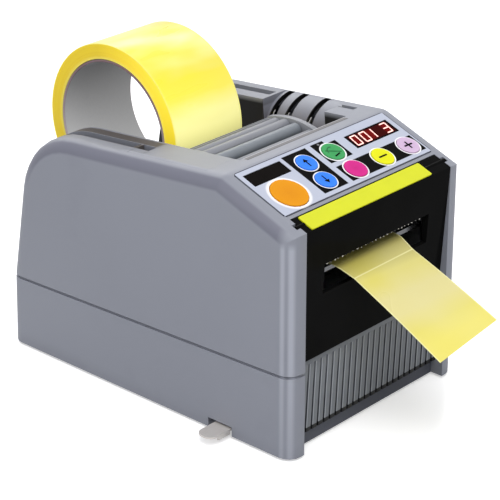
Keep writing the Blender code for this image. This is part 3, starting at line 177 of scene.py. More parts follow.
# Light. A pale tent all round, a large soft lamp over the front left, and two strips at the back
# and on the left side that draw the edges.
bpy.context.scene.view_settings.view_transform = "Standard"
world = bpy.data.worlds.new("tent")
bpy.context.scene.world = world
world.use_nodes = True
tree = world.node_tree
path = Tone(tree, tree.nodes.new("ShaderNodeLightPath").outputs["Is Camera Ray"])
glossy = path.node("ShaderNodeLightPath", {}, {}, "Is Glossy Ray")
through = path.node("ShaderNodeLightPath", {}, {}, "Is Transmission Ray")
tent_light = 0.50
shown = extreme("MINIMUM", path + glossy + through, 1)
tree.links.new((tent_light + shown * (1 - tent_light)).socket, tree.nodes["Background"].inputs[1])
tree.nodes["Background"].inputs[0].default_value = (1, 1, 1, 1)
lamps = {
    "key_lamp": ((-0.55, -0.75, 1.70), (1.3, 1.3), 22),
    "back_strip": ((0.75, 1.10, 1.10), (1.6, 0.4), 9),
    "side_strip": ((-1.60, 0.45, 0.75), (0.4, 1.4), 3),
}
for name, (where, size, power) in lamps.items():
    aim = Vector((0, 0, 0.08)) - Vector(where)
    turn = aim.to_track_quat("-Z", "Y").to_euler()
    bpy.ops.object.light_add(type="AREA", location=where, rotation=turn)
    lamp = bpy.context.object
    lamp.name = name
    lamp.data.shape = "RECTANGLE"
    lamp.data.size, lamp.data.size_y = size
    lamp.data.energy = power


# Housing. Two injection-moulded halves in grey plastic with a fine spark-eroded skin: the base
# tray with its posts, and the upper shell with the console, the slotted shoulder and the well.
# They meet at a seam and are screwed together from below.
soft_shading = bpy.data.node_groups.new("soft_shading", "GeometryNodeTree")
for way in ("INPUT", "OUTPUT"):
    soft_shading.interface.new_socket("Mesh", in_out=way, socket_type="NodeSocketGeometry")
kinds = ("NodeGroupInput", "GeometryNodeMergeByDistance", "GeometryNodeRemoveAttribute")
kinds += ("GeometryNodeSetShadeSmooth", "GeometryNodeSetShadeSmooth", "NodeGroupOutput")
steps = [soft_shading.nodes.new(kind) for kind in kinds]
for step, following in zip(steps, steps[1:]):
    soft_shading.links.new(step.outputs[0], following.inputs[0])
steps[1].inputs["Distance"].default_value = 0.000001
steps[2].inputs["Name"].default_value = "custom_normal"
steps[3].inputs["Shade Smooth"].default_value = True
steps[4].domain = "EDGE"
steps[4].inputs["Shade Smooth"].default_value = False
bend = soft_shading.nodes.new("GeometryNodeInputMeshEdgeAngle")
sharp = soft_shading.nodes.new("FunctionNodeCompare")
sharp.inputs[1].default_value = radians(32)
soft_shading.links.new(bend.outputs[0], sharp.inputs[0])
soft_shading.links.new(sharp.outputs[0], steps[4].inputs["Selection"])


def dress(finish, *nodes):
    """Gives CAD nodes their finish, and shades their rounded edges softly."""
    for node in nodes:
        for seat in frame["nodes"][node].material_slots:
            seat.material = finish
        frame["nodes"][node].modifiers.new("soft_shading", "NODES").node_group = soft_shading


def axes(place):
    """The three numbers of a place: across the machine, from front to rear, and up."""
    return (place.node("ShaderNodeSeparateXYZ", {}, {"Vector": place}, n) for n in range(3))


def zone(tone, low, high, soft):
    """1 where the tone lies between two values, and soft at both."""
    return spread(tone, low - soft, low) * spread(tone, high, high + soft, 1, 0)


front_y, well_side, hollow_side = -0.10675, 0.043, 0.0642
ridge_back, ridge_height, top_fall = 0.0505, 0.14668, radians(4.8)
well_front, well_rear, hollow_front, hollow_rear = 0.0590, 0.2030, 0.0750, 0.1203
slot_backs, slot_half, slot_side = (0.0893, 0.1055, 0.1160), 0.00212, 0.0452
slat_front, slat_rear, slat_side, slat_line = 0.0566, 0.0597, 0.0405, 0.0005
grey_plastic, shader, place = new_finish("grey_plastic", gloss=0.42)
skin = grain(place, 0.00035, 3)
handling = grain(place, 0.03, 4)
flow = grain(place, 0.11, 2)
side, front, height = axes(place)
back, reach = front - front_y, side.maths("ABSOLUTE", side)
sunk = ridge_height - (back - ridge_back) * tan(top_fall) - height
above_floor = spread(height, 0.050, 0.055)
colour = mixed(flow, (136, 139, 150), (143, 146, 157))
colour = mixed(spread(handling, 0.60, 0.80, 0, 0.25), colour, (122, 125, 136))
# The shell is painted darker over its lowest centimetre, a painted shade near the floor.
colour = mixed(spread(height, 0.0, 0.010, 0.30, 0), colour, (108, 110, 120))
# A darker band along the left side's rounded top edge is a painted shade on the rounding.
edge = zone(side, -0.0698, -0.0668, 0.0012) * spread(side, -0.06999, -0.0697)
edge = edge * spread(back, 0.006, 0.011)
colour = mixed(edge * spread(height, 0.100, 0.118, 0, 0.8), colour, (106, 107, 122))
# Two pale stripes down the rounding of the front left pillar are painted highlights.
pillar_highlights = zone(back, 0.0020, 0.0030, 0.0012) + zone(back, 0.0062, 0.0072, 0.0014) * 0.8
pillar_highlights = pillar_highlights * zone(side, -0.0705, -0.0600, 0.001) * spread(height, 0.124, 0.120)
colour = mixed(pillar_highlights * spread(height, 0.0, 0.06, 0.5, 0.9), colour, (172, 175, 187))
over_hollow = zone(reach, well_side, hollow_side, 0.0001)
# The shoulders' hollow is painted darker the deeper it lies, a painted shade.
shoulder = over_hollow * zone(back, hollow_front, hollow_rear, 0.0002)
colour = mixed(shoulder * spread(sunk, 0.001, 0.014, 0, 0.85), colour, (92, 86, 92))
# Inside the well the grey is painted almost black below the rim, a painted shade.
well = zone(reach, -1, well_side + 0.0001, 0.0001) * zone(back, well_front, well_rear, 0.0005)
colour = mixed(well * above_floor * spread(sunk, 0.0004, 0.003), colour, (8, 6, 7))
# The rear end wall of the hollow is painted dark, more so lower down, a painted shade.
rear_end_shade = over_hollow * zone(back, hollow_rear - 0.0003, hollow_rear + 0.0003, 0.0001)
colour = mixed(rear_end_shade * spread(sunk, 0.0005, 0.016, 0.3, 1), colour, (44, 40, 44))
# A darker slat band is painted across the ridge, with a painted shadow line along its front edge and a
# painted highlight line along its rear edge.
slat = zone(reach, -1, slat_side, 0.0003) * spread(height, 0.140, 0.141)
for start, end, soft, share, tint in (
    (slat_front, slat_rear, 0.0001, 1.0, (98, 95, 99)),
    (slat_front - slat_line, slat_front, 0.0002, 1.0, (40, 39, 44)),
    (slat_rear - slat_line, slat_rear, 0.0002, 0.8, (200, 201, 206)),
):
    colour = mixed(slat * zone(back, start, end, soft) * share, colour, tint)
# The slots of the right shoulder are painted almost black inside, a painted shade.
for slot_back in slot_backs:
    slot = zone(back, slot_back - slot_half, slot_back + slot_half, 0.00001)
    slot = slot * zone(side, slot_side, hollow_side, 0.0001) * above_floor
    colour = mixed(slot, colour, (8, 7, 8))
# Towards the rear, the left rim's groove and the strip inside it are painted dark brown-grey, a painted
# shade, with a thin line left unpainted.
rim_shade = zone(side, -0.0575, -0.0447, 0.0004) * (1 - zone(side, -0.0515, -0.0510, 0.0002))
rim_shade = rim_shade * spread(back, 0.1105, 0.1125) * spread(height, 0.100, 0.105)
colour = mixed(rim_shade * 0.95, colour, (80, 74, 72))
lay(shader, height=skin, depth=0.00003, base_color=colour, roughness=0.36 + handling * 0.12)
dress(grey_plastic, "upper_housing", "base_tray")


# Feet. Four pads moulded in black rubber and pushed into round seats under the base. They
# gather a little pale dust.
corners = [(end, side) for end in ("front", "rear") for side in ("left", "right")]
black_rubber, shader, place = new_finish("black_rubber", gloss=0.3)
dust = grain(place, 0.006, 5)
lay(
    shader, height=grain(place, 0.0004, 2), depth=0.00004,
    base_color=mixed(spread(dust, 0.45, 0.75), (32, 32, 33), (62, 61, 60)), roughness=0.62 + dust * 0.2,
)
dress(black_rubber, *(f"foot_{end}_{side}" for end, side in corners))


# Screws, axles and pins. Turned steel with fine rings from the lathe, zinc-plated and bright. The
# screws go up through the base, and the axles and pins are pushed into their seats.
def rings_across(place, scale, wander):
    """Fine rings, one after another across the machine."""
    values = {"Vector": place, "Scale": scale, "Distortion": wander, "Detail": 2.0}
    return place.node("ShaderNodeTexWave", {"wave_type": "BANDS", "bands_direction": "X"}, values)


bright_steel, shader, place = new_finish("bright_steel", metallic=1.0)
rings = rings_across(place, 900.0, 1.5)
spots = grain(place, 0.004, 3)
lay(
    shader, height=rings, depth=0.000006, base_color=mixed(spots, (186, 188, 192), (206, 207, 210)),
    roughness=0.22 + spots * 0.16,
)
dress(bright_steel, *(f"screw_{end}_{side}" for end, side in corners), "lever_pin", "feed_shaft")
dress(bright_steel, "guide_axle", "support_axle_front", "support_axle_rear")


# Crosses in the screw heads. One is pressed into each steel head for the driver. Each is a thin
# near-black cross set into the head, a painted shade for the dark bottom of the recess.
cross_arm, cross_width, cross_depth = 0.0018, 0.0005, 0.00006


def pick(*pieces):
    """Chooses these pieces alone, the first of them as the active one."""
    bpy.ops.object.select_all(action="DESELECT")
    for piece in pieces:
        piece.select_set(True)
    bpy.context.view_layer.objects.active = pieces[0]


def begin(piece, action="DESELECT"):
    """Edit mode on this piece alone, with nothing in it selected, or with SELECT all of it."""
    pick(piece)
    bpy.ops.object.mode_set(mode="EDIT")
    bpy.ops.mesh.select_mode(type="FACE")
    bpy.ops.mesh.select_all(action=action)


def choose(kind, test):
    """Selects the faces, edges or verts of the piece in edit mode that pass the test."""
    bpy.ops.mesh.select_mode(type=kind[:-1].upper())
    bpy.ops.mesh.select_all(action="DESELECT")
    shape = bmesh.from_edit_mesh(bpy.context.object.data)
    for item in getattr(shape, kind):
        if test(item):
            item.select_set(True)
    shape.select_flush_mode()
    bmesh.update_edit_mesh(bpy.context.object.data)


def settle():
    """Takes the place, turn and size of the chosen piece into its mesh."""
    bpy.ops.object.transform_apply(location=True, rotation=True, scale=True)


def finished(piece, name, finish, body, where=None):
    """A modelled piece with its place taken into its mesh, smoothed, dressed and on its body."""
    pick(piece)
    for modifier in list(piece.modifiers):
        bpy.ops.object.modifier_apply(modifier=modifier.name)
    if where is not None:
        piece.matrix_world = where @ piece.matrix_world
    settle()
    bpy.ops.object.shade_smooth_by_angle(angle=radians(35))
    piece.name = piece.data.name = name
    piece.data.materials.clear()
    piece.data.materials.append(finish)
    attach(piece, body)
    piece.select_set(False)
    return piece


def joined(pieces):
    """Several pieces made into one."""
    pick(*pieces)
    bpy.ops.object.join()
    return bpy.context.object


def bar(low, high, rim, steps=2):
    """A block between two corners, its edges rounded by the rim."""
    middle = [(a + b) / 2 for a, b in zip(low, high)]
    size = [b - a for a, b in zip(low, high)]
    bpy.ops.mesh.primitive_cube_add(size=1, location=middle, scale=size)
    piece = bpy.context.object
    settle()
    begin(piece, "SELECT")
    bpy.ops.mesh.bevel(offset=rim, segments=steps, affect="EDGES")
    bpy.ops.object.mode_set(mode="OBJECT")
    return piece


def mottled(name, clouds, first, second, rough, dull=None, skin=None, **fixed):
    """A finish clouded between two colours. Its clouds, dull spots and skin are each a grain's
    size and detail, and the last two end with what they add to roughness and relief."""
    made, shader, place = new_finish(name, **fixed)
    varying = {"base_color": mixed(grain(place, *clouds), first, second)}
    varying["roughness"] = rough + grain(place, *dull[:2]) * dull[2] if dull else rough
    if skin:
        varying.update(height=grain(place, *skin[:2]), depth=skin[2])
    lay(shader, **varying)
    return made


# The cross's near-black is a painted shade for the recess.
pit_black = mottled("pit_black", (0.001,), (16, 16, 17), (30, 30, 31), 0.8, gloss=0.2)
for end, side in corners:
    low, high = (Vector(spot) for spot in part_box(f"screw_{end}_{side}"))
    middle = (low + high) / 2
    arms = []
    for reach_x, reach_y in ((cross_arm, cross_width), (cross_width, cross_arm)):
        arm = Vector((reach_x, reach_y, cross_depth))
        foot = Vector((middle.x, middle.y, low.z))
        arms.append(bar(foot - arm, foot + arm, cross_depth / 2))
    finished(joined(arms), f"screw_cross_{end}_{side}", pit_black, "root")


# Left rim. The shell is closed flat over the shoulder on the lever's side, moulded in one
# with it, and only a groove is left towards the rear.
rim_outer, rim_low, rim_high = -0.0641, -0.0620, -0.0432
rim_groove_low, rim_groove_high = -0.0574, -0.0513
rim_front, groove_front, rim_rear, rim_lap = 0.0635, 0.1110, 0.1235, 0.0005
rim_rise, rim_shelve, rim_deep, rim_soft = 0.00003, 0.00041, 0.019, 0.00002
fall = 1 / cos(top_fall)
on_rim = Matrix.Translation((0, front_y + ridge_back, ridge_height)) @ Matrix.Rotation(-top_fall, 4, "X")
closed = []
for low_x, high_x, start, end in (
    (rim_low, rim_high, rim_front, groove_front),
    (rim_low, rim_groove_low, groove_front - rim_lap, rim_rear),
    (rim_groove_high, rim_high, groove_front - rim_lap, rim_rear),
    (rim_outer, rim_low, rim_front, rim_rear),
):
    low = (low_x, (start - ridge_back) * fall, -rim_deep)
    high = (high_x, (end - ridge_back) * fall, rim_rise)
    closed.append(bar(low, high, rim_soft, 1))
begin(closed[-1])
choose("verts", lambda v: v.co.x < rim_low - 0.001 and v.co.z > -0.001)
bpy.ops.transform.translate(value=(0, 0, -rim_shelve))
bpy.ops.object.mode_set(mode="OBJECT")
finished(joined(closed), "left_rim", grey_plastic, "root", on_rim)


# Slot fins. A thin upright fin of grey plastic stands in each slot of the right shoulder, moulded
# in one with the shell. It is given a paler grey than the shell, a painted highlight where the
# light catches its edge.
def pull(x, y, z):
    """Extrudes what is selected by a step along each axis."""
    bpy.ops.mesh.extrude_region_move(TRANSFORM_OT_translate={"value": (x, y, z)})


def face_out():
    """Turns all faces of the piece in edit mode outwards, and leaves that mode."""
    bpy.ops.mesh.select_all(action="SELECT")
    bpy.ops.mesh.normals_make_consistent(inside=False)
    bpy.ops.object.mode_set(mode="OBJECT")


fin_grey = mottled(
    "fin_grey", (0.002, 3), (168, 166, 166), (190, 188, 188), 0.5, (0.001, 2, 0.1), gloss=0.3
)
shoulder_round, shoulder_drop = 0.021, 0.0003
fin_sunk, fin_thick, fin_off, fin_shelf = 0.0010, 0.0005, 0.0004, 0.0046
fin_foot, fin_head, fin_steps = radians(176), radians(137), 8
for number, slot_back in enumerate(slot_backs):
    round_z = ridge_height - (slot_back - ridge_back) * tan(top_fall) - shoulder_drop - shoulder_round
    path = []
    for k in range(fin_steps + 1):
        angle = fin_foot + (fin_head - fin_foot) * k / fin_steps
        far = shoulder_round - fin_sunk
        path.append((well_side + shoulder_round + far * cos(angle), round_z + far * sin(angle)))
    path.append((path[-1][0] + fin_shelf, path[-1][1]))
    bpy.ops.mesh.primitive_plane_add(size=fin_thick)
    fin = bpy.context.object
    begin(fin, "SELECT")
    bpy.ops.transform.translate(value=(path[0][0], front_y + slot_back + fin_off, path[0][1]))
    for (x, z), (next_x, next_z) in zip(path, path[1:]):
        pull(next_x - x, 0, next_z - z)
    face_out()
    finished(fin, f"slot_fin_{number + 1}", fin_grey, "root")


# Power inlet and switch. A socket for the supply and a rocker in its bezel, moulded in satin
# black nylon and snapped into the rear wall.
black_nylon = mottled(
    "black_nylon", (0.004, 4), (24, 24, 25), (38, 38, 40), 0.34, (0.01, 3, 0.2), (0.00025, 2, 0.00002),
    gloss=0.4,
)
dress(black_nylon, "dc_inlet", "switch_bezel", "power_rocker", "display_module")


# Release lever. A tongue of nickel-plated steel sheet with a folded lip, brushed across, which
# swings on its pin in a slot of the base.
def stretched(place, x, y, z):
    """The place with its numbers multiplied, so that a pattern on it is drawn out."""
    return place.node("ShaderNodeMapping", {}, {"Vector": place, "Scale": (x, y, z)})


nickel_plate, shader, place = new_finish("nickel_plate", metallic=0.55)
lines = grain(stretched(place, 1, 12, 12), 0.004, 5)
lay(
    shader, height=lines, depth=0.00001, base_color=mixed(lines, (218, 212, 206), (236, 231, 226)),
    roughness=0.30 + lines * 0.14,
)
dress(nickel_plate, "release_lever")


# Feed unit. One zinc-plated sheet folded to a frame, two small motors in drawn cans, an acetal
# gear, brass pinion and crank, and rubber feed rollers.
zinc_sheet, shader, place = new_finish("zinc_sheet", metallic=1.0)
spangle = place.node("ShaderNodeTexVoronoi", {}, {"Vector": place, "Scale": 260.0}, "Color")
tone = spangle.node("ShaderNodeSeparateColor", {}, {"Color": spangle})
lay(
    shader, height=grain(place, 0.0008, 3), depth=0.000012,
    base_color=mixed(tone, (150, 153, 158), (176, 178, 182)), roughness=0.30 + tone * 0.16,
)
dress(zinc_sheet, "feed_frame", "blade_yoke")

drawn_can, shader, place = new_finish("drawn_can", metallic=1.0)
scuffs = grain(stretched(place, 0.05, 1, 1), 0.0006, 4)
lay(
    shader, height=scuffs, depth=0.000008, base_color=mixed(scuffs, (140, 142, 146), (172, 173, 176)),
    roughness=0.26 + scuffs * 0.18,
)
dress(drawn_can, "feed_motor", "cutter_motor")

white_acetal = mottled(
    "white_acetal", (0.008, 4), (226, 226, 220), (236, 236, 231), 0.38, (0.005, 3, 0.12),
    (0.0003, 2, 0.000015), gloss=0.45,
)
dress(white_acetal, "feed_gear")

turned_brass = mottled(
    "turned_brass", (0.003, 5), (196, 164, 88), (222, 192, 118), 0.24, (0.003, 5, 0.2),
    (0.0003, 2, 0.000008), metallic=1.0,
)
dress(turned_brass, "motor_pinion", "cutter_crank")

ribbed_rubber, shader, place = new_finish("ribbed_rubber", gloss=0.3)
ribs = rings_across(place, 320.0, 0.0)
lay(
    shader, height=ribs, depth=0.00012,
    base_color=mixed(spread(grain(place, 0.004, 4), 0.4, 0.8), (30, 30, 31), (56, 55, 54)),
    roughness=0.58 + ribs * 0.15,
)
dress(ribbed_rubber, "feed_roller", "pinch_roller", "support_roller_front", "support_roller_rear")


# Blades. Two strips of hardened steel ground along their length. The lower one is fixed to the
# feed frame, and the upper one has a row of teeth and rides on the yoke.
ground_steel, shader, place = new_finish("ground_steel", metallic=1.0)
strokes = grain(stretched(place, 0.03, 1, 1), 0.0003, 4)
lay(
    shader, height=strokes, depth=0.000008, base_color=mixed(strokes, (96, 96, 98), (150, 151, 153)),
    roughness=0.18 + strokes * 0.16,
)
dress(ground_steel, "fixed_blade")
# The upper blade is painted dark with scattered bright flecks that also glow faintly, painted glints of its
# teeth.
toothed_steel, shader, place = new_finish("toothed_steel", metallic=0.3, emission_strength=1.0)
glints = grain(place, 0.0016, 3)
glint = spread(glints, 0.52, 0.60)
lay(
    shader, height=glints, depth=0.00003, base_color=mixed(glint, (30, 28, 27), (226, 222, 214)),
    emission_color=mixed(glint, no_light, (0.30, 0.29, 0.27, 1)), roughness=0.34 + glints * 0.2,
)
dress(toothed_steel, "moving_blade")


# Control board. Glass laminate with green resist over its copper tracks, set on spacers under
# the keypad.
resist_green, shader, place = new_finish("resist_green", gloss=0.5)
tracks = place.node(
    "ShaderNodeTexBrick",
    {"offset": 0.5},
    {"Vector": place, "Scale": 120.0, "Mortar Size": 0.06, "Brick Width": 1.4, "Row Height": 0.35},
    "Fac",
)
lay(
    shader, height=tracks, depth=0.00004, base_color=mixed(tracks, (20, 78, 46), (44, 116, 70)),
    roughness=0.28 + grain(place, 0.003, 3) * 0.12,
)
dress(resist_green, "control_board")


# Keypad film. A sheet of polyester printed from behind in silver grey, with black patches and
# white rings for the keys, laid in a shallow seat of the console over the key switches.
console_slope = radians(20.7)
console_height = 0.1276
film_width, film_length, film_start = 0.120, 0.0375, 0.0145
border_inset, edge_shadow_line = 0.0004, 0.0004
edge_soft = 0.00009
patches = (
    ((0.0342, 0.0030), (0.0530, 0.0352)),
    ((0.0570, 0.0190), (0.0745, 0.0325)),
    ((0.0570, 0.0190), (0.0667, 0.0352)),
    ((0.0568, 0.0030), (0.1185, 0.0158)),
)
keys = {
    "start": ((0.0163, 0.0124), 0.0104, 0.0122),
    "up": ((0.0442, 0.0257), 0.0060, 0.0069),
    "down": ((0.0432, 0.0108), 0.0060, 0.0069),
    "mode": ((0.0655, 0.0256), 0.0065, 0.0076),
    "select": ((0.0662, 0.0096), 0.0065, 0.0075),
    "minus": ((0.0887, 0.0097), 0.0065, 0.0075),
    "plus": ((0.1104, 0.0097), 0.0065, 0.0075),
}


def on_console(u, v, rise=0.0):
    """From the film's low left corner to a place on the object, and the slope's turn."""
    along = film_start + v
    level, upright = cos(console_slope), sin(console_slope)
    y = front_y + along * level - rise * upright
    z = console_height + along * upright + rise * level
    return Matrix.Translation((u - film_width / 2, y, z)) @ Matrix.Rotation(console_slope, 4, "X")


def film_place(place):
    """The place on the film, across and up it, worked out from the place on the object."""
    x, y, z = axes(place)
    along = (y - front_y) * cos(console_slope) + (z - console_height) * sin(console_slope)
    return x + film_width / 2, along - film_start


def inside(u, v, low, high, soft=edge_soft):
    """1 within a rectangle of the print and 0 outside it."""
    nearest = extreme("MINIMUM", u - low[0], high[0] - u, v - low[1], high[1] - v)
    return spread(nearest, -soft, soft)


def away(u, v, centre):
    """How far a place of the print is from a point."""
    return ((u - centre[0]) ** 2 + (v - centre[1]) ** 2) ** 0.5


film_print, shader, place = new_finish("film_print", gloss=0.02)
u, v = film_place(place)
silk = grain(place, 0.0003, 3)
silver = mixed(silk, (180, 186, 205), (190, 196, 213))
silver = mixed(grain(place, 0.02, 3), silver, (194, 199, 214))
# A dark line just inside the film's edge is a painted shadow line along the edge of its seat.
field, outer = (
    inside(u, v, (inset, inset), (film_width - inset, film_length - inset))
    for inset in (border_inset, border_inset - edge_shadow_line)
)
colour = mixed(field, mixed(outer, (170, 174, 188), (40, 40, 56)), silver)
ring_white = (250, 250, 252)
start_centre, start_halo = keys["start"][0], keys["start"][2]
halo = spread(away(u, v, start_centre), start_halo - 0.0008, start_halo + 0.0006, 1, 0)
colour = mixed(halo, colour, ring_white)
black = extreme("MAXIMUM", *(inside(u, v, *patch) for patch in patches))
colour = mixed(black, colour, (9, 8, 9))
for name, (centre, radius, ring) in keys.items():
    if name != "start":
        printed = spread(away(u, v, centre), ring - edge_soft, ring + edge_soft, 1, 0)
        colour = mixed(printed, colour, ring_white)
lay(shader, height=silk, depth=0.00001, base_color=colour, roughness=0.30 + silk * 0.16)
dress(film_print, "keypad_overlay")


# Keys. Seven round caps moulded in coloured plastic, each on a stem over its switch and free to
# move in its hole of the film, with its sign printed on top.
key_top = 0.0008
ink_rise, ink_sink = 0.00005, 0.00010
blue = ((58, 134, 250), (48, 124, 244))
key_colours = {
    "start": ((228, 150, 3), (221, 141, 1)),
    "up": blue,
    "down": blue,
    "mode": ((66, 162, 94), (56, 152, 86)),
    "select": ((214, 42, 140), (200, 32, 128)),
    "minus": ((232, 232, 24), (224, 224, 12)),
    "plus": ((212, 186, 216), (202, 174, 208)),
}
for name, (centre, radius, ring) in keys.items():
    lighter, darker = key_colours[name]
    cap_plastic, shader, place = new_finish(f"{name}_cap", gloss=0.10)
    # Each cap is painted darker at its middle and lighter towards its rim, a painted shade across the cap.
    colour = mixed(spread(away(*film_place(place), centre), 0, radius), darker, lighter)
    colour = mixed(spread(grain(place, 0.003, 4), 0.5, 0.8, 0, 0.35), colour, lighter)
    lay(
        shader, height=grain(place, 0.0004, 2), depth=0.00001, base_color=colour,
        roughness=0.34 + grain(place, 0.002, 2) * 0.1,
    )
    dress(cap_plastic, f"{name}_key")

black_ink = mottled("black_ink", (0.0005, 3), (2, 2, 5), (10, 9, 13), 0.45, gloss=0.02)
dark_green_ink = mottled("dark_green_ink", (0.0005, 3), (22, 92, 48), (30, 104, 58), 0.45, gloss=0.3)


def sheet(width, length, corner, thick):
    """A flat sheet about the origin, its corners rounded, pulled up to its thickness."""
    bpy.ops.mesh.primitive_plane_add(size=1)
    piece = bpy.context.object
    begin(piece, "SELECT")
    bpy.ops.transform.resize(value=(width, length, 1))
    bpy.ops.mesh.bevel(offset=corner, segments=4, affect="VERTICES")
    pull(0, 0, thick)
    face_out()
    return piece


def stroke(start, end, width):
    """A straight printed stroke with round ends, flat on the console."""
    run, rise = (b - a for a, b in zip(start, end))
    piece = sheet(hypot(run, rise) + width, width, width * 0.49, ink_rise + ink_sink)
    middle = [(a + b) / 2 for a, b in zip(start, end)]
    piece.matrix_world = Matrix.Translation((*middle, 0)) @ Matrix.Rotation(atan2(rise, run), 4, "Z")
    settle()
    return piece


def reshape(piece, spot):
    """Moves each corner of the mesh to where spot takes it, and leaves all of it selected."""
    begin(piece)
    shape = bmesh.from_edit_mesh(piece.data)
    for corner in shape.verts:
        corner.co = spot(corner.co)
    bmesh.update_edit_mesh(piece.data)
    bpy.ops.mesh.select_all(action="SELECT")


def arrowhead(tip, back, half):
    """A printed triangle from its tip to its back edge."""
    bpy.ops.mesh.primitive_circle_add(vertices=3, radius=1, fill_type="NGON")
    heading = Vector(tip) - Vector(back)
    side = Vector((-heading.y, heading.x)).normalized() * half
    spots = iter((Vector(tip), Vector(back) + side, Vector(back) - side))
    reshape(bpy.context.object, lambda corner: (*next(spots), 0))
    pull(0, 0, ink_rise + ink_sink)
    face_out()
    return bpy.context.object


arrow_reach, arrow_head, arrow_half, line_wide = 0.0029, 0.0024, 0.0018, 0.00085
sign_reach, sign_wide, plus_reach = 0.0027, 0.0011, 0.0027 * 0.9


def arrow(way):
    """A printed arrow that points up the console for 1 and down it for -1."""
    neck = (0, way * (arrow_reach - arrow_head))
    shaft = stroke((0, -way * arrow_reach), neck, line_wide)
    return [shaft, arrowhead((0, way * arrow_reach), neck, arrow_half)]


def dash():
    """A printed stroke straight across the key."""
    return stroke((-sign_reach, 0), (sign_reach, 0), sign_wide)


signs = {
    "up": lambda: arrow(1),
    "down": lambda: arrow(-1),
    "minus": lambda: [dash()],
    "plus": lambda: [dash(), stroke((0, -plus_reach), (0, plus_reach), sign_wide)],
}
for name, make in signs.items():
    where = on_console(*keys[name][0], key_top - ink_sink)
    finished(joined(make()), f"{name}_sign", black_ink, name, where)

cut_line, cut_slant, cut_thin = 0.0047, radians(-27), 0.0004
base_start, base_end, base_wide = (-0.0018, -0.0036), (0.0021, -0.0027), 0.0009
arc_radius, arc_wide, arc_start, arc_step, arc_count = 0.0035, 0.0006, 70, 18, 6
cut_ends = [(reach * cos(cut_slant), reach * sin(cut_slant)) for reach in (-cut_line, cut_line)]
strokes = [stroke(*cut_ends, cut_thin), stroke(base_start, base_end, base_wide)]
where = on_console(*keys["mode"][0], key_top - ink_sink)
finished(joined(strokes), "mode_sign_black", black_ink, "mode", where)
arcs = []
for k in range(arc_count):
    angles = [radians(arc_start + arc_step * (k + n)) for n in range(2)]
    arcs.append(stroke(*[(arc_radius * cos(a), arc_radius * sin(a)) for a in angles], arc_wide))
finished(joined(arcs), "mode_sign_green", dark_green_ink, "mode", where)


# Display. A filter of red-dyed acrylic set in the film's opening, over a block of four figures
# that glow through it in seven strokes each.
display_centre, lens_top, lens_low, lens_high = (0.0988, 0.0266), 0.0003, (0.0829, 0.0224), (0.1148, 0.0308)
figure_places, figures = (0.0860, 0.0934, 0.0984, 0.1110), "0013"
figure_half_width, figure_half_height, segment_wide, figure_slant = 0.0021, 0.0036, 0.0008, 0.10
segment_gap, glow_soft, lens_soft = 0.12, 0.0012, 0.0004
segments = {
    "top": ((-1, 1), (1, 1)),
    "middle": ((-1, 0), (1, 0)),
    "bottom": ((-1, -1), (1, -1)),
    "upper_left": ((-1, 0), (-1, 1)),
    "upper_right": ((1, 0), (1, 1)),
    "lower_left": ((-1, -1), (-1, 0)),
    "lower_right": ((1, -1), (1, 0)),
}
lit = {
    "0": ("top", "bottom", "upper_left", "upper_right", "lower_left", "lower_right"),
    "1": ("upper_right", "lower_right"),
    "3": ("top", "middle", "bottom", "upper_right", "lower_right"),
}
red_filter, shader, place = new_finish(
    "red_filter", gloss=0.02, emission_strength=1.0, roughness=0.12
)
u, v = film_place(place)
figure_low, figure_high = (display_centre[1] + half for half in (-figure_half_height, figure_half_height))
glows = []
for x in figure_places:
    low, high = (x - figure_half_width, figure_low), (x + figure_half_width, figure_high)
    glows.append(inside(u, v, low, high, glow_soft))
face = inside(u, v, lens_low, lens_high, lens_soft)
lay(
    shader, base_color=mixed(face, (6, 1, 2), (58, 0, 0)),
    emission_color=mixed(extreme("MAXIMUM", *glows) * face, no_light, (105, 8, 6)),
    roughness=0.10 + grain(place, 0.002, 2) * 0.06,
)
dress(red_filter, "display_lens")
lit_figure, shader, place = new_finish("lit_figure", emission_strength=1.0, roughness=0.5)
lay(
    shader, base_color=mixed(grain(place, 0.001), (255, 214, 206), (255, 228, 222)),
    emission_color=mixed(grain(place, 0.002), (222, 120, 104), (230, 150, 138)),
)
strokes = []
for figure, across in zip(figures, figure_places):
    for segment in lit[figure]:
        (ax, ay), (bx, by) = segments[segment]
        ax, bx = (x * (1 - segment_gap * (ay == by)) for x in (ax, bx))
        ay, by = (ay + segment_gap, by - segment_gap) if ax == bx else (ay, by)
        ends = []
        for x, y in ((ax, ay * figure_half_height), (bx, by * figure_half_height)):
            ends.append((across - display_centre[0] + x * figure_half_width + y * figure_slant, y))
        strokes.append(stroke(*ends, segment_wide))
where = on_console(*display_centre, lens_top - ink_sink)
finished(joined(strokes), "display_figures", lit_figure, "root", where)


# Dark window and lamp. A polished filter of black acrylic over the remote sensor, and the frosted
# head of one small lamp, both let into openings of the film.
sensor_black = mottled(
    "sensor_black", (0.006, 3), (16, 14, 13), (24, 21, 20), 0.14, (0.003, 3, 0.1), gloss=0.01
)
dress(sensor_black, "window_lens")
lamp_grey = mottled(
    "lamp_grey", (0.0008, 3), (86, 86, 90), (124, 124, 128), 0.2, (0.001, 2, 0.1), gloss=0.5
)
dress(lamp_grey, "indicator_lamp")


# Front cover. A panel of polished black acrylic with the outlet in it, folded back over the
# console's edge and hinged there on two pins, so that the blades can be reached.
black_acrylic, shader, place = new_finish("black_acrylic", gloss=0.01)
smears = grain(place, 0.02, 5)
lay(
    shader, height=grain(place, 0.03, 2), depth=0.00006,
    base_color=mixed(smears, (13, 13, 13), (20, 20, 20)),
    roughness=0.10 + spread(smears, 0.4, 0.8, 0, 0.20),
)
dress(black_acrylic, "front_cover")


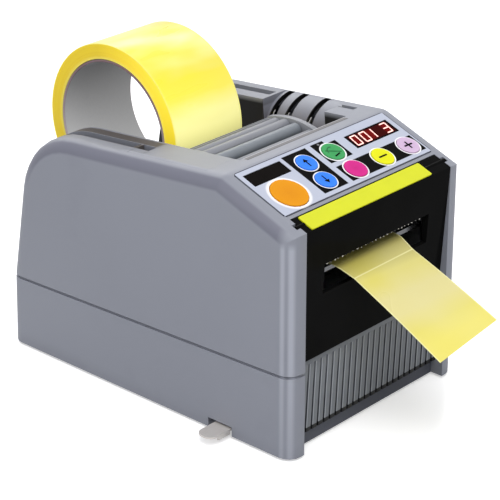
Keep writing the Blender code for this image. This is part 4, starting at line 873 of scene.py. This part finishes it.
# Label. A bare strip of thin yellow vinyl with its corners cut round, stuck on the cover's flange
# over the outlet.
label_low, label_high, label_thick, label_corner = (-0.0545, -0.0140), (0.0430, -0.0037), 0.0007, 0.0008
label_yellow = mottled(
    "label_yellow", (0.012, 4), (206, 211, 10), (218, 222, 22), 0.36, (0.012, 4, 0.12),
    (0.0006, 3, 0.000008), gloss=0.3,
)
label_size = [high - low for low, high in zip(label_low, label_high)]
across, along = ((low + high) / 2 for low, high in zip(label_low, label_high))
where = on_console(across + film_width / 2, along)
label = sheet(*label_size, label_corner, label_thick)
finished(label, "label_strip", label_yellow, "cover", where)


# Finger guard. A strip of dark red acrylic bonded behind the top of the outlet, which keeps
# fingers off the blade.
guard_red = mottled("guard_red", (0.006, 3), (34, 9, 8), (46, 14, 11), 0.18, (0.004, 3, 0.1), gloss=0.1)
guard_half, guard_low, guard_high, guard_rim = 0.0425, 0.1036, 0.1056, 0.00015
guard_front = front_y + 0.0046
guard_rear = guard_front + 0.0006
guard = bar((-guard_half, guard_front, guard_low), (guard_half, guard_rear, guard_high), guard_rim)
finished(guard, "outlet_guard", guard_red, "cover")


# Grille and sill. A plate with ribs that lean to one side, and the bar under it, moulded in darker
# grey, that clip between the two front pillars. A near-black band is painted under the ribs, a
# painted shadow in the gap there.
grille_half, grille_lean, grille_middle = 0.0587, radians(3.8), (0.00634, 0.0306)
plate_foot, plate_head, plate_deep, rib_deep = 0.0095, 0.0517, 0.0027, 0.0013
rib_low, rib_high, rib_slant, rib_rim = -0.0206, 0.0168, tan(radians(8.4)), 0.00025
rib_count, rib_share = 24, 0.76
rib_pitch = 2 * grille_half / rib_count
grille_grey, shader, place = new_finish("grille_grey", gloss=0.4)
x, y, z = axes(place)
rise = (z - grille_middle[1]) * (1 / cos(grille_lean))
across = (x - rise * rib_slant + grille_half) * (1 / rib_pitch)
across = across.maths("FRACT", across)
ribbed = spread(rise, rib_high - 0.0003, rib_high, 1, 0)
wear = grain(place, 0.01, 4)
colour = mixed(wear, (112, 116, 122), (124, 128, 134))
# The grooves between the ribs are painted dark, a painted shade, and a pale line along each rib's edge is a
# painted highlight.
colour = mixed(ribbed * zone(across, rib_share, 0.98, 0.04), colour, (34, 35, 40))
colour = mixed(ribbed * zone(across, 0.04, 0.10, 0.06) * 0.8, colour, (166, 170, 177))
# The near-black band under the ribs is a painted shadow.
colour = mixed(spread(rise, rib_low + 0.0023, rib_low + 0.0025, 1, 0), colour, (3, 3, 4))
lay(shader, height=grain(place, 0.0004, 3), depth=0.00003, base_color=colour, roughness=0.40 + wear * 0.14)
plate_half = (plate_head - plate_foot) / 2 / cos(grille_lean)
ribs = [bar((-grille_half, -plate_half, -plate_deep), (grille_half, plate_half, -rib_deep), rib_rim)]
ribs.append(bar((-grille_half, rib_high, -plate_deep), (grille_half, plate_half, 0), rib_rim))
for k in range(-1, rib_count + 1):
    start = k * rib_pitch - grille_half
    end = start + rib_pitch * rib_share
    rib = bar((start, rib_low, -rib_deep - rib_rim), (end, rib_high + rib_rim, 0), rib_rim)
    begin(rib)
    for end, low, high in ((rib_high, 0, 1), (rib_low, -1, 0)):
        choose("verts", lambda v: low < v.co.y < high)
        bpy.ops.transform.translate(value=(end * rib_slant, 0, 0))
    for edge in ((-grille_half, 0, 0), (grille_half, 0, 0)):
        choose("verts", lambda v: True)
        bpy.ops.mesh.bisect(plane_co=edge, plane_no=edge, clear_outer=True, use_fill=True)
    bpy.ops.object.mode_set(mode="OBJECT")
    ribs.append(rib)
where = Matrix.Translation((0, front_y + grille_middle[0], grille_middle[1]))
where = where @ Matrix.Rotation(pi / 2 - grille_lean, 4, "X")
grille = finished(joined(ribs), "front_grille_form", grille_grey, "root", where)
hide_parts("front_grille")
slate_grey = mottled(
    "slate_grey", (0.01, 4), (74, 77, 88), (86, 89, 99), 0.42, (0.01, 4, 0.14), (0.0004, 3, 0.00003),
    gloss=0.35,
)
dress(slate_grey, "front_sill")


# Guide cover. An arched cover over the tape's way in, moulded as two rails with slats between
# them, hinged at its front end. A smooth roller turns on its axle in the cover's window.
arch_back, arch_top, arch_radius = 0.0905, 0.1392, 0.054
guide_front, guide_run = 0.0626, 0.046
rail_out, rail_wide, rail_high = 0.0372, 0.0036, 0.0085
rail_in = rail_out - rail_wide
slat_drop, slat_thick, slat_sink, slat_seam = 0.0010, 0.0022, 0.0008, 0.985
seam_half, arch_steps = 0.0002, 16


def on_arch(run, drop=0.0):
    """A place on the guide cover's arch, from its front end, as y and z."""
    back = guide_front + run
    return front_y + back, arch_top - drop - arch_radius + sqrt(arch_radius**2 - (back - arch_back) ** 2)


def soften(piece, rim, sharp):
    """Rounds the piece's edges that bend by more than so many degrees."""
    soft = piece.modifiers.new("soft_edges", "BEVEL")
    soft.width, soft.segments, soft.limit_method, soft.angle_limit = rim, 2, "ANGLE", radians(sharp)
    bpy.ops.object.modifier_apply(modifier="soft_edges")


def arched(start, end, low_x, high_x, drop, thick, rim):
    """A strip that follows the arch from start to end, its long edges rounded by the rim."""
    bpy.ops.mesh.primitive_plane_add(size=1)
    piece = bpy.context.object
    path = [on_arch(start + (end - start) * k / arch_steps, drop) for k in range(arch_steps + 1)]
    y, z = path[0]
    reshape(piece, lambda co: (high_x if co.x > 0 else low_x, y, z - (thick if co.y < 0 else 0)))
    for (near_y, near_z), (far_y, far_z) in zip(path, path[1:]):
        pull(0, far_y - near_y, far_z - near_z)
    face_out()
    if rim:
        soften(piece, rim, 40)
    return piece


def rod(radius, length, middle, sides):
    """A round bar across the machine, left in edit mode."""
    bpy.ops.mesh.primitive_cylinder_add(
        vertices=sides, radius=radius, depth=length, location=middle, rotation=(0, pi / 2, 0)
    )
    settle()
    begin(bpy.context.object)
    return bpy.context.object


def seam(middle, share):
    """Cuts a fine seam round the middle of the rod in edit mode, to this share of its radius."""
    for cut_x in (-seam_half, seam_half):
        bpy.ops.mesh.select_all(action="SELECT")
        bpy.ops.mesh.bisect(plane_co=(cut_x, 0, 0), plane_no=(1, 0, 0))
    choose("faces", lambda f: abs(f.calc_center_median().x) < seam_half)
    bpy.ops.transform.resize(value=(1, share, share), center_override=middle)


def soften_ends(rim, steps):
    """Rounds both ends of the rod in edit mode, and leaves that mode."""
    choose("faces", lambda f: abs(f.normal.x) > 0.9)
    bpy.ops.mesh.bevel(offset=rim, segments=steps, affect="EDGES")
    bpy.ops.object.mode_set(mode="OBJECT")


def round_slat(run, radius):
    """A round slat across the cover, its ends chamfered, with a fine seam at its middle."""
    y, z = on_arch(run)
    middle = (0, y, z - slat_sink - radius)
    slat = rod(radius, 2 * rail_in, middle, 48)
    seam(middle, slat_seam)
    soften_ends(radius * 0.18, 2)
    return slat


guide_grey = mottled(
    "guide_grey", (0.012, 4), (132, 134, 142), (144, 146, 153), 0.34, (0.012, 4, 0.12),
    (0.0004, 3, 0.00002), gloss=0.42,
)
parts = [
    arched(0, guide_run, rail_in, rail_out, 0, rail_high, 0.0005),
    arched(0, guide_run, -rail_out, -rail_in, 0, rail_high, 0.0005),
    arched(0.0001, 0.0075, -rail_in, rail_in, 0.0014, slat_thick, 0.0003),
    arched(0.0078, 0.0150, -rail_in, rail_in, slat_drop, slat_thick, 0.0004),
    arched(0.0290, guide_run - 0.0001, -rail_in, rail_in, 0.0030, 0.0012, 0.0),
    round_slat(0.0322, 0.0033),
    round_slat(0.0389, 0.0031),
    arched(0.0424, 0.0440, -rail_in, rail_in, slat_drop, slat_thick, 0.0003),
    arched(0.0447, guide_run, -rail_in, rail_in, 0.0008, slat_thick, 0.0003),
]
hinge = frame["record"]["behaviour"]["joints"]
pivot = next(joint["pos_m"] for joint in hinge if joint["name"] == "guide_hinge")
pin_radius, pin_out, pin_rim = 0.0016, 0.0452, 0.0003
for side in (-1, 1):
    middle = (side * (pin_out + rail_in) / 2, pivot[1], pivot[2])
    parts.append(rod(pin_radius, pin_out - rail_in, middle, 32))
    soften_ends(pin_rim, 2)
guide = finished(joined(parts), "guide_cover_form", guide_grey, "guide")
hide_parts("guide_cover")

roller_grey = mottled(
    "roller_grey", (0.01, 4), (118, 124, 132), (132, 138, 146), 0.4, (0.01, 4, 0.1), gloss=0.6
)
roller_low, roller_high = (Vector(corner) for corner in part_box("guide_roller"))
roller_middle = (roller_low + roller_high) / 2
roller_radius, roller_seam, roller_rim = (roller_high.z - roller_low.z) / 2, 0.97, 0.0008
roller = rod(roller_radius, roller_high.x - roller_low.x, roller_middle, 72)
seam(roller_middle, roller_seam)
soften_ends(roller_rim, 3)
finished(roller, "guide_roller_form", roller_grey, "guide_roller")
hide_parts("guide_roller")


# Tape roll. Clear yellow film wound on a core of grey board, a loose roll that lies on two
# rubber rollers in the well. Its sides show the fine steps of the winding.
tape_low, tape_high = (Vector(corner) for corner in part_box("tape_winding"))
core_low, core_high = (Vector(corner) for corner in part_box("roll_core"))
roll_middle = (tape_low + tape_high) / 2
roll_radius, core_radius, core_thick = 0.049, 0.0402, 0.0016
winding_rim, core_rim = 0.0002, 0.0003
half_width = (tape_high.x - tape_low.x) / 2


def roll_place(place):
    """How far a place of the roll is from its axis, and from its middle plane."""
    x, y, z = (tone - middle for tone, middle in zip(axes(place), roll_middle))
    return (y**2 + z**2) ** 0.5, x.maths("ABSOLUTE", x)


def ring_body(outer, inner, half, steps, rim):
    """A ring about the roll's axis, its sides stepped a little at each share of its depth."""
    piece = rod(outer, 2 * half, roll_middle, 160)
    choose("faces", lambda f: abs(f.normal.x) > 0.9)
    reached = 0
    for share, rise in steps:
        bpy.ops.mesh.inset(thickness=(outer - inner) * (share - reached), depth=rise)
        reached = share
    bpy.ops.mesh.delete(type="FACE")
    choose("edges", lambda e: e.is_boundary)
    bpy.ops.mesh.bridge_edge_loops()
    face_out()
    soften(piece, rim, 50)
    return piece


yellow_tape, shader, place = new_finish("yellow_tape", gloss=0.4, emission_strength=1.0)
reach, off_middle = roll_place(place)
one_way = {"noise_dimensions": "1D"}
turns, wide_turns = (
    reach.node("ShaderNodeTexNoise", one_way, {"W": reach, "Scale": scale, "Detail": detail})
    for scale, detail in ((9000.0, 4.0), (700.0, 2.0))
)
side_tone = mixed(turns, (244, 206, 10), (252, 226, 40))
# Near the core the side is painted paler, a painted highlight on the rounded winding.
side_tone = mixed(spread(reach, core_radius, core_radius + 0.0022, 0.75, 0), side_tone, (250, 236, 110))
side_tone = mixed(spread(wide_turns, 0.45, 0.75, 0, 0.4), side_tone, (238, 196, 6))
bands = grain(stretched(place, 0.35, 1, 1), 0.022, 2, 0.6)
face_tone = mixed(spread(bands, 0.36, 0.66), (250, 232, 66), (252, 246, 150))
x, y, z = axes(place)
# The face is painted pale lower down, with a vivid band above it, a painted reflection of the pale
# surroundings.
face_reflection = spread(z + bands * 0.02, 0.178, 0.150)
vivid = zone(z + bands * 0.02, 0.166, 0.174, 0.010)
face_tone = mixed(vivid * 0.8, face_tone, (252, 234, 40))
face_tone = mixed(face_reflection * (1 - vivid), face_tone, (254, 250, 170))
# Along its edges the face is painted paler, a painted highlight on the rounded winding.
face_tone = mixed(spread(off_middle, half_width - 0.0016, half_width, 0, 0.8), face_tone, (252, 240, 120))
outer_face = spread(reach, roll_radius - 0.0006, roll_radius - 0.0002)
# The front half of the sides and the lower face are given a yellow glow, painted light in the film.
front_half = spread(y, roll_middle.y + 0.010, roll_middle.y - 0.040)
side_glow = mixed(front_half, no_light, (0.44, 0.36, 0.03, 1))
face_glow = mixed(face_reflection, no_light, (0.34, 0.32, 0.11, 1))
lay(
    shader, height=turns * (1 - outer_face), depth=0.00005,
    base_color=mixed(outer_face, side_tone, face_tone),
    emission_color=mixed(outer_face, side_glow, face_glow),
    roughness=0.34 - outer_face * 0.10 + bands * 0.08,
)
side_steps = ((0.06, 0.0), (0.30, 0.00012), (0.55, -0.00014), (0.80, 0.00010), (0.97, -0.00006), (1.0, 0.0))
winding = ring_body(roll_radius, core_radius, half_width - winding_rim, side_steps, winding_rim)
finished(winding, "tape_winding_form", yellow_tape, "roll")
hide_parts("tape_winding")

grey_board, shader, place = new_finish("grey_board", gloss=0.25, emission_strength=1.0)
reach, off_middle = roll_place(place)
fibre = grain(stretched(place, 3, 1, 1), 0.0016, 5)
x, y, z = axes(place)
inside_tone = mixed(fibre, (150, 150, 151), (164, 164, 165))
edge_tone = mixed(fibre, (120, 98, 104), (138, 116, 120))
edge = spread(off_middle, half_width - 0.0008, half_width - 0.0004)
# The inside of the core glows more towards its bottom, painted light on the board.
lay(
    shader, height=fibre, depth=0.00004, base_color=mixed(edge, inside_tone, edge_tone),
    emission_color=mixed(spread(z, 0.160, 0.098), no_light, (0.30, 0.30, 0.30, 1)),
    roughness=0.7 + fibre * 0.2,
)
core_half, core_steps = (core_high.x - core_low.x) / 2, ((0.5, 0.0), (1.0, 0.0))
core = ring_body(core_radius - core_rim, core_radius - core_thick, core_half, core_steps, core_rim)
finished(core, "roll_core_form", grey_board, "roll")
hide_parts("roll_core")


# Tape strip. The film that hangs out of the outlet, its dull sticky side down, bent at the edge
# of the lower blade and creased across where it was last held.
strip_low = tape_low.x
strip_width = tape_high.x - tape_low.x
strip_height, strip_thick = 0.0980, 0.00012
strip_rear, strip_bend = 0.032, 0.0055
strip_crease = ((-0.0068, 0.0946), (-0.0034, 0.0924))
strip_end = ((-0.06305, 0.0659), (-0.0594, 0.0692))
bend_round, bend_share, sag, strip_lift = 0.0035, 0.12, 0.0006, 0.0001
crease_rise, crease_run = 0.00018, 0.0008
strip_rows, strip_columns = 60, 16


def strip_place(flat):
    """The place on the strip of a corner of the flat grid: along is 0 at the rollers, 1 at its end."""
    across, along = flat.x + 0.5, 0.5 - flat.y
    crease, end = (
        tuple((1 - across) * a + across * b for a, b in zip(*pair)) for pair in (strip_crease, strip_end)
    )
    stations = [(strip_rear, strip_height), (strip_bend, strip_height), crease, end]
    lengths = [hypot(b[0] - a[0], b[1] - a[1]) for a, b in zip(stations, stations[1:])]
    far = along * sum(lengths)
    for (start, stop), length in zip(zip(stations, stations[1:]), lengths):
        if far <= length or stop == end:
            share = min(far / length, 1)
            break
        far -= length
    back, height = ((1 - share) * a + share * b for a, b in zip(start, stop))
    off_bend = back - strip_bend
    if abs(off_bend) < bend_round:
        height -= (bend_round - abs(off_bend)) ** 2 / bend_round * bend_share
    if start == crease:
        height += sag * sin(pi * share)
        height += crease_rise * max(0, 1 - share * lengths[2] / crease_run)
    return strip_low + across * strip_width, front_y + back, height + strip_lift


bpy.ops.mesh.primitive_grid_add(x_subdivisions=strip_columns, y_subdivisions=strip_rows, size=1)
strip = bpy.context.object
reshape(strip, strip_place)
face_out()
wall = strip.modifiers.new("film", "SOLIDIFY")
wall.thickness, wall.offset = strip_thick, 0
strip_film, shader, place = new_finish("strip_film", gloss=0.45)
x, y, z = axes(place)
out = front_y - y
shadow = spread(out, -0.006, 0.010, 0.75, 0)
clouds = grain(place, 0.034, 1, 0.3)
colour = mixed(spread(clouds, 0.35, 0.65), (232, 220, 104), (234, 224, 138))
cream = zone(out, 0.024, 0.034, 0.012)
colour = mixed(cream * 0.8, colour, (232, 222, 160))
colour = mixed(spread(out, 0.044, 0.054, 0, 0.7), colour, (242, 230, 112))
colour = mixed(shadow, colour, (140, 132, 76))
(crease_left, _), (crease_right, _) = strip_crease
crease = out + (x - strip_low) * ((crease_right - crease_left) / strip_width) + crease_left
# A pale line along the crease is a painted highlight.
colour = mixed(zone(crease, -0.0001, 0.0003, 0.0003) * 0.8, colour, (250, 244, 176))
# The long edges are painted pale, a painted highlight on the film's cut edges.
from_edge = extreme("MINIMUM", x - strip_low, strip_low + strip_width - x)
colour = mixed(spread(from_edge, 0.0002, 0.0010, 0.75, 0), colour, (253, 250, 190))
lay(shader, height=clouds, depth=0.0002, base_color=colour, roughness=0.24 + clouds * 0.12)
finished(strip, "tape_strip_form", strip_film, "root")
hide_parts("tape_strip")
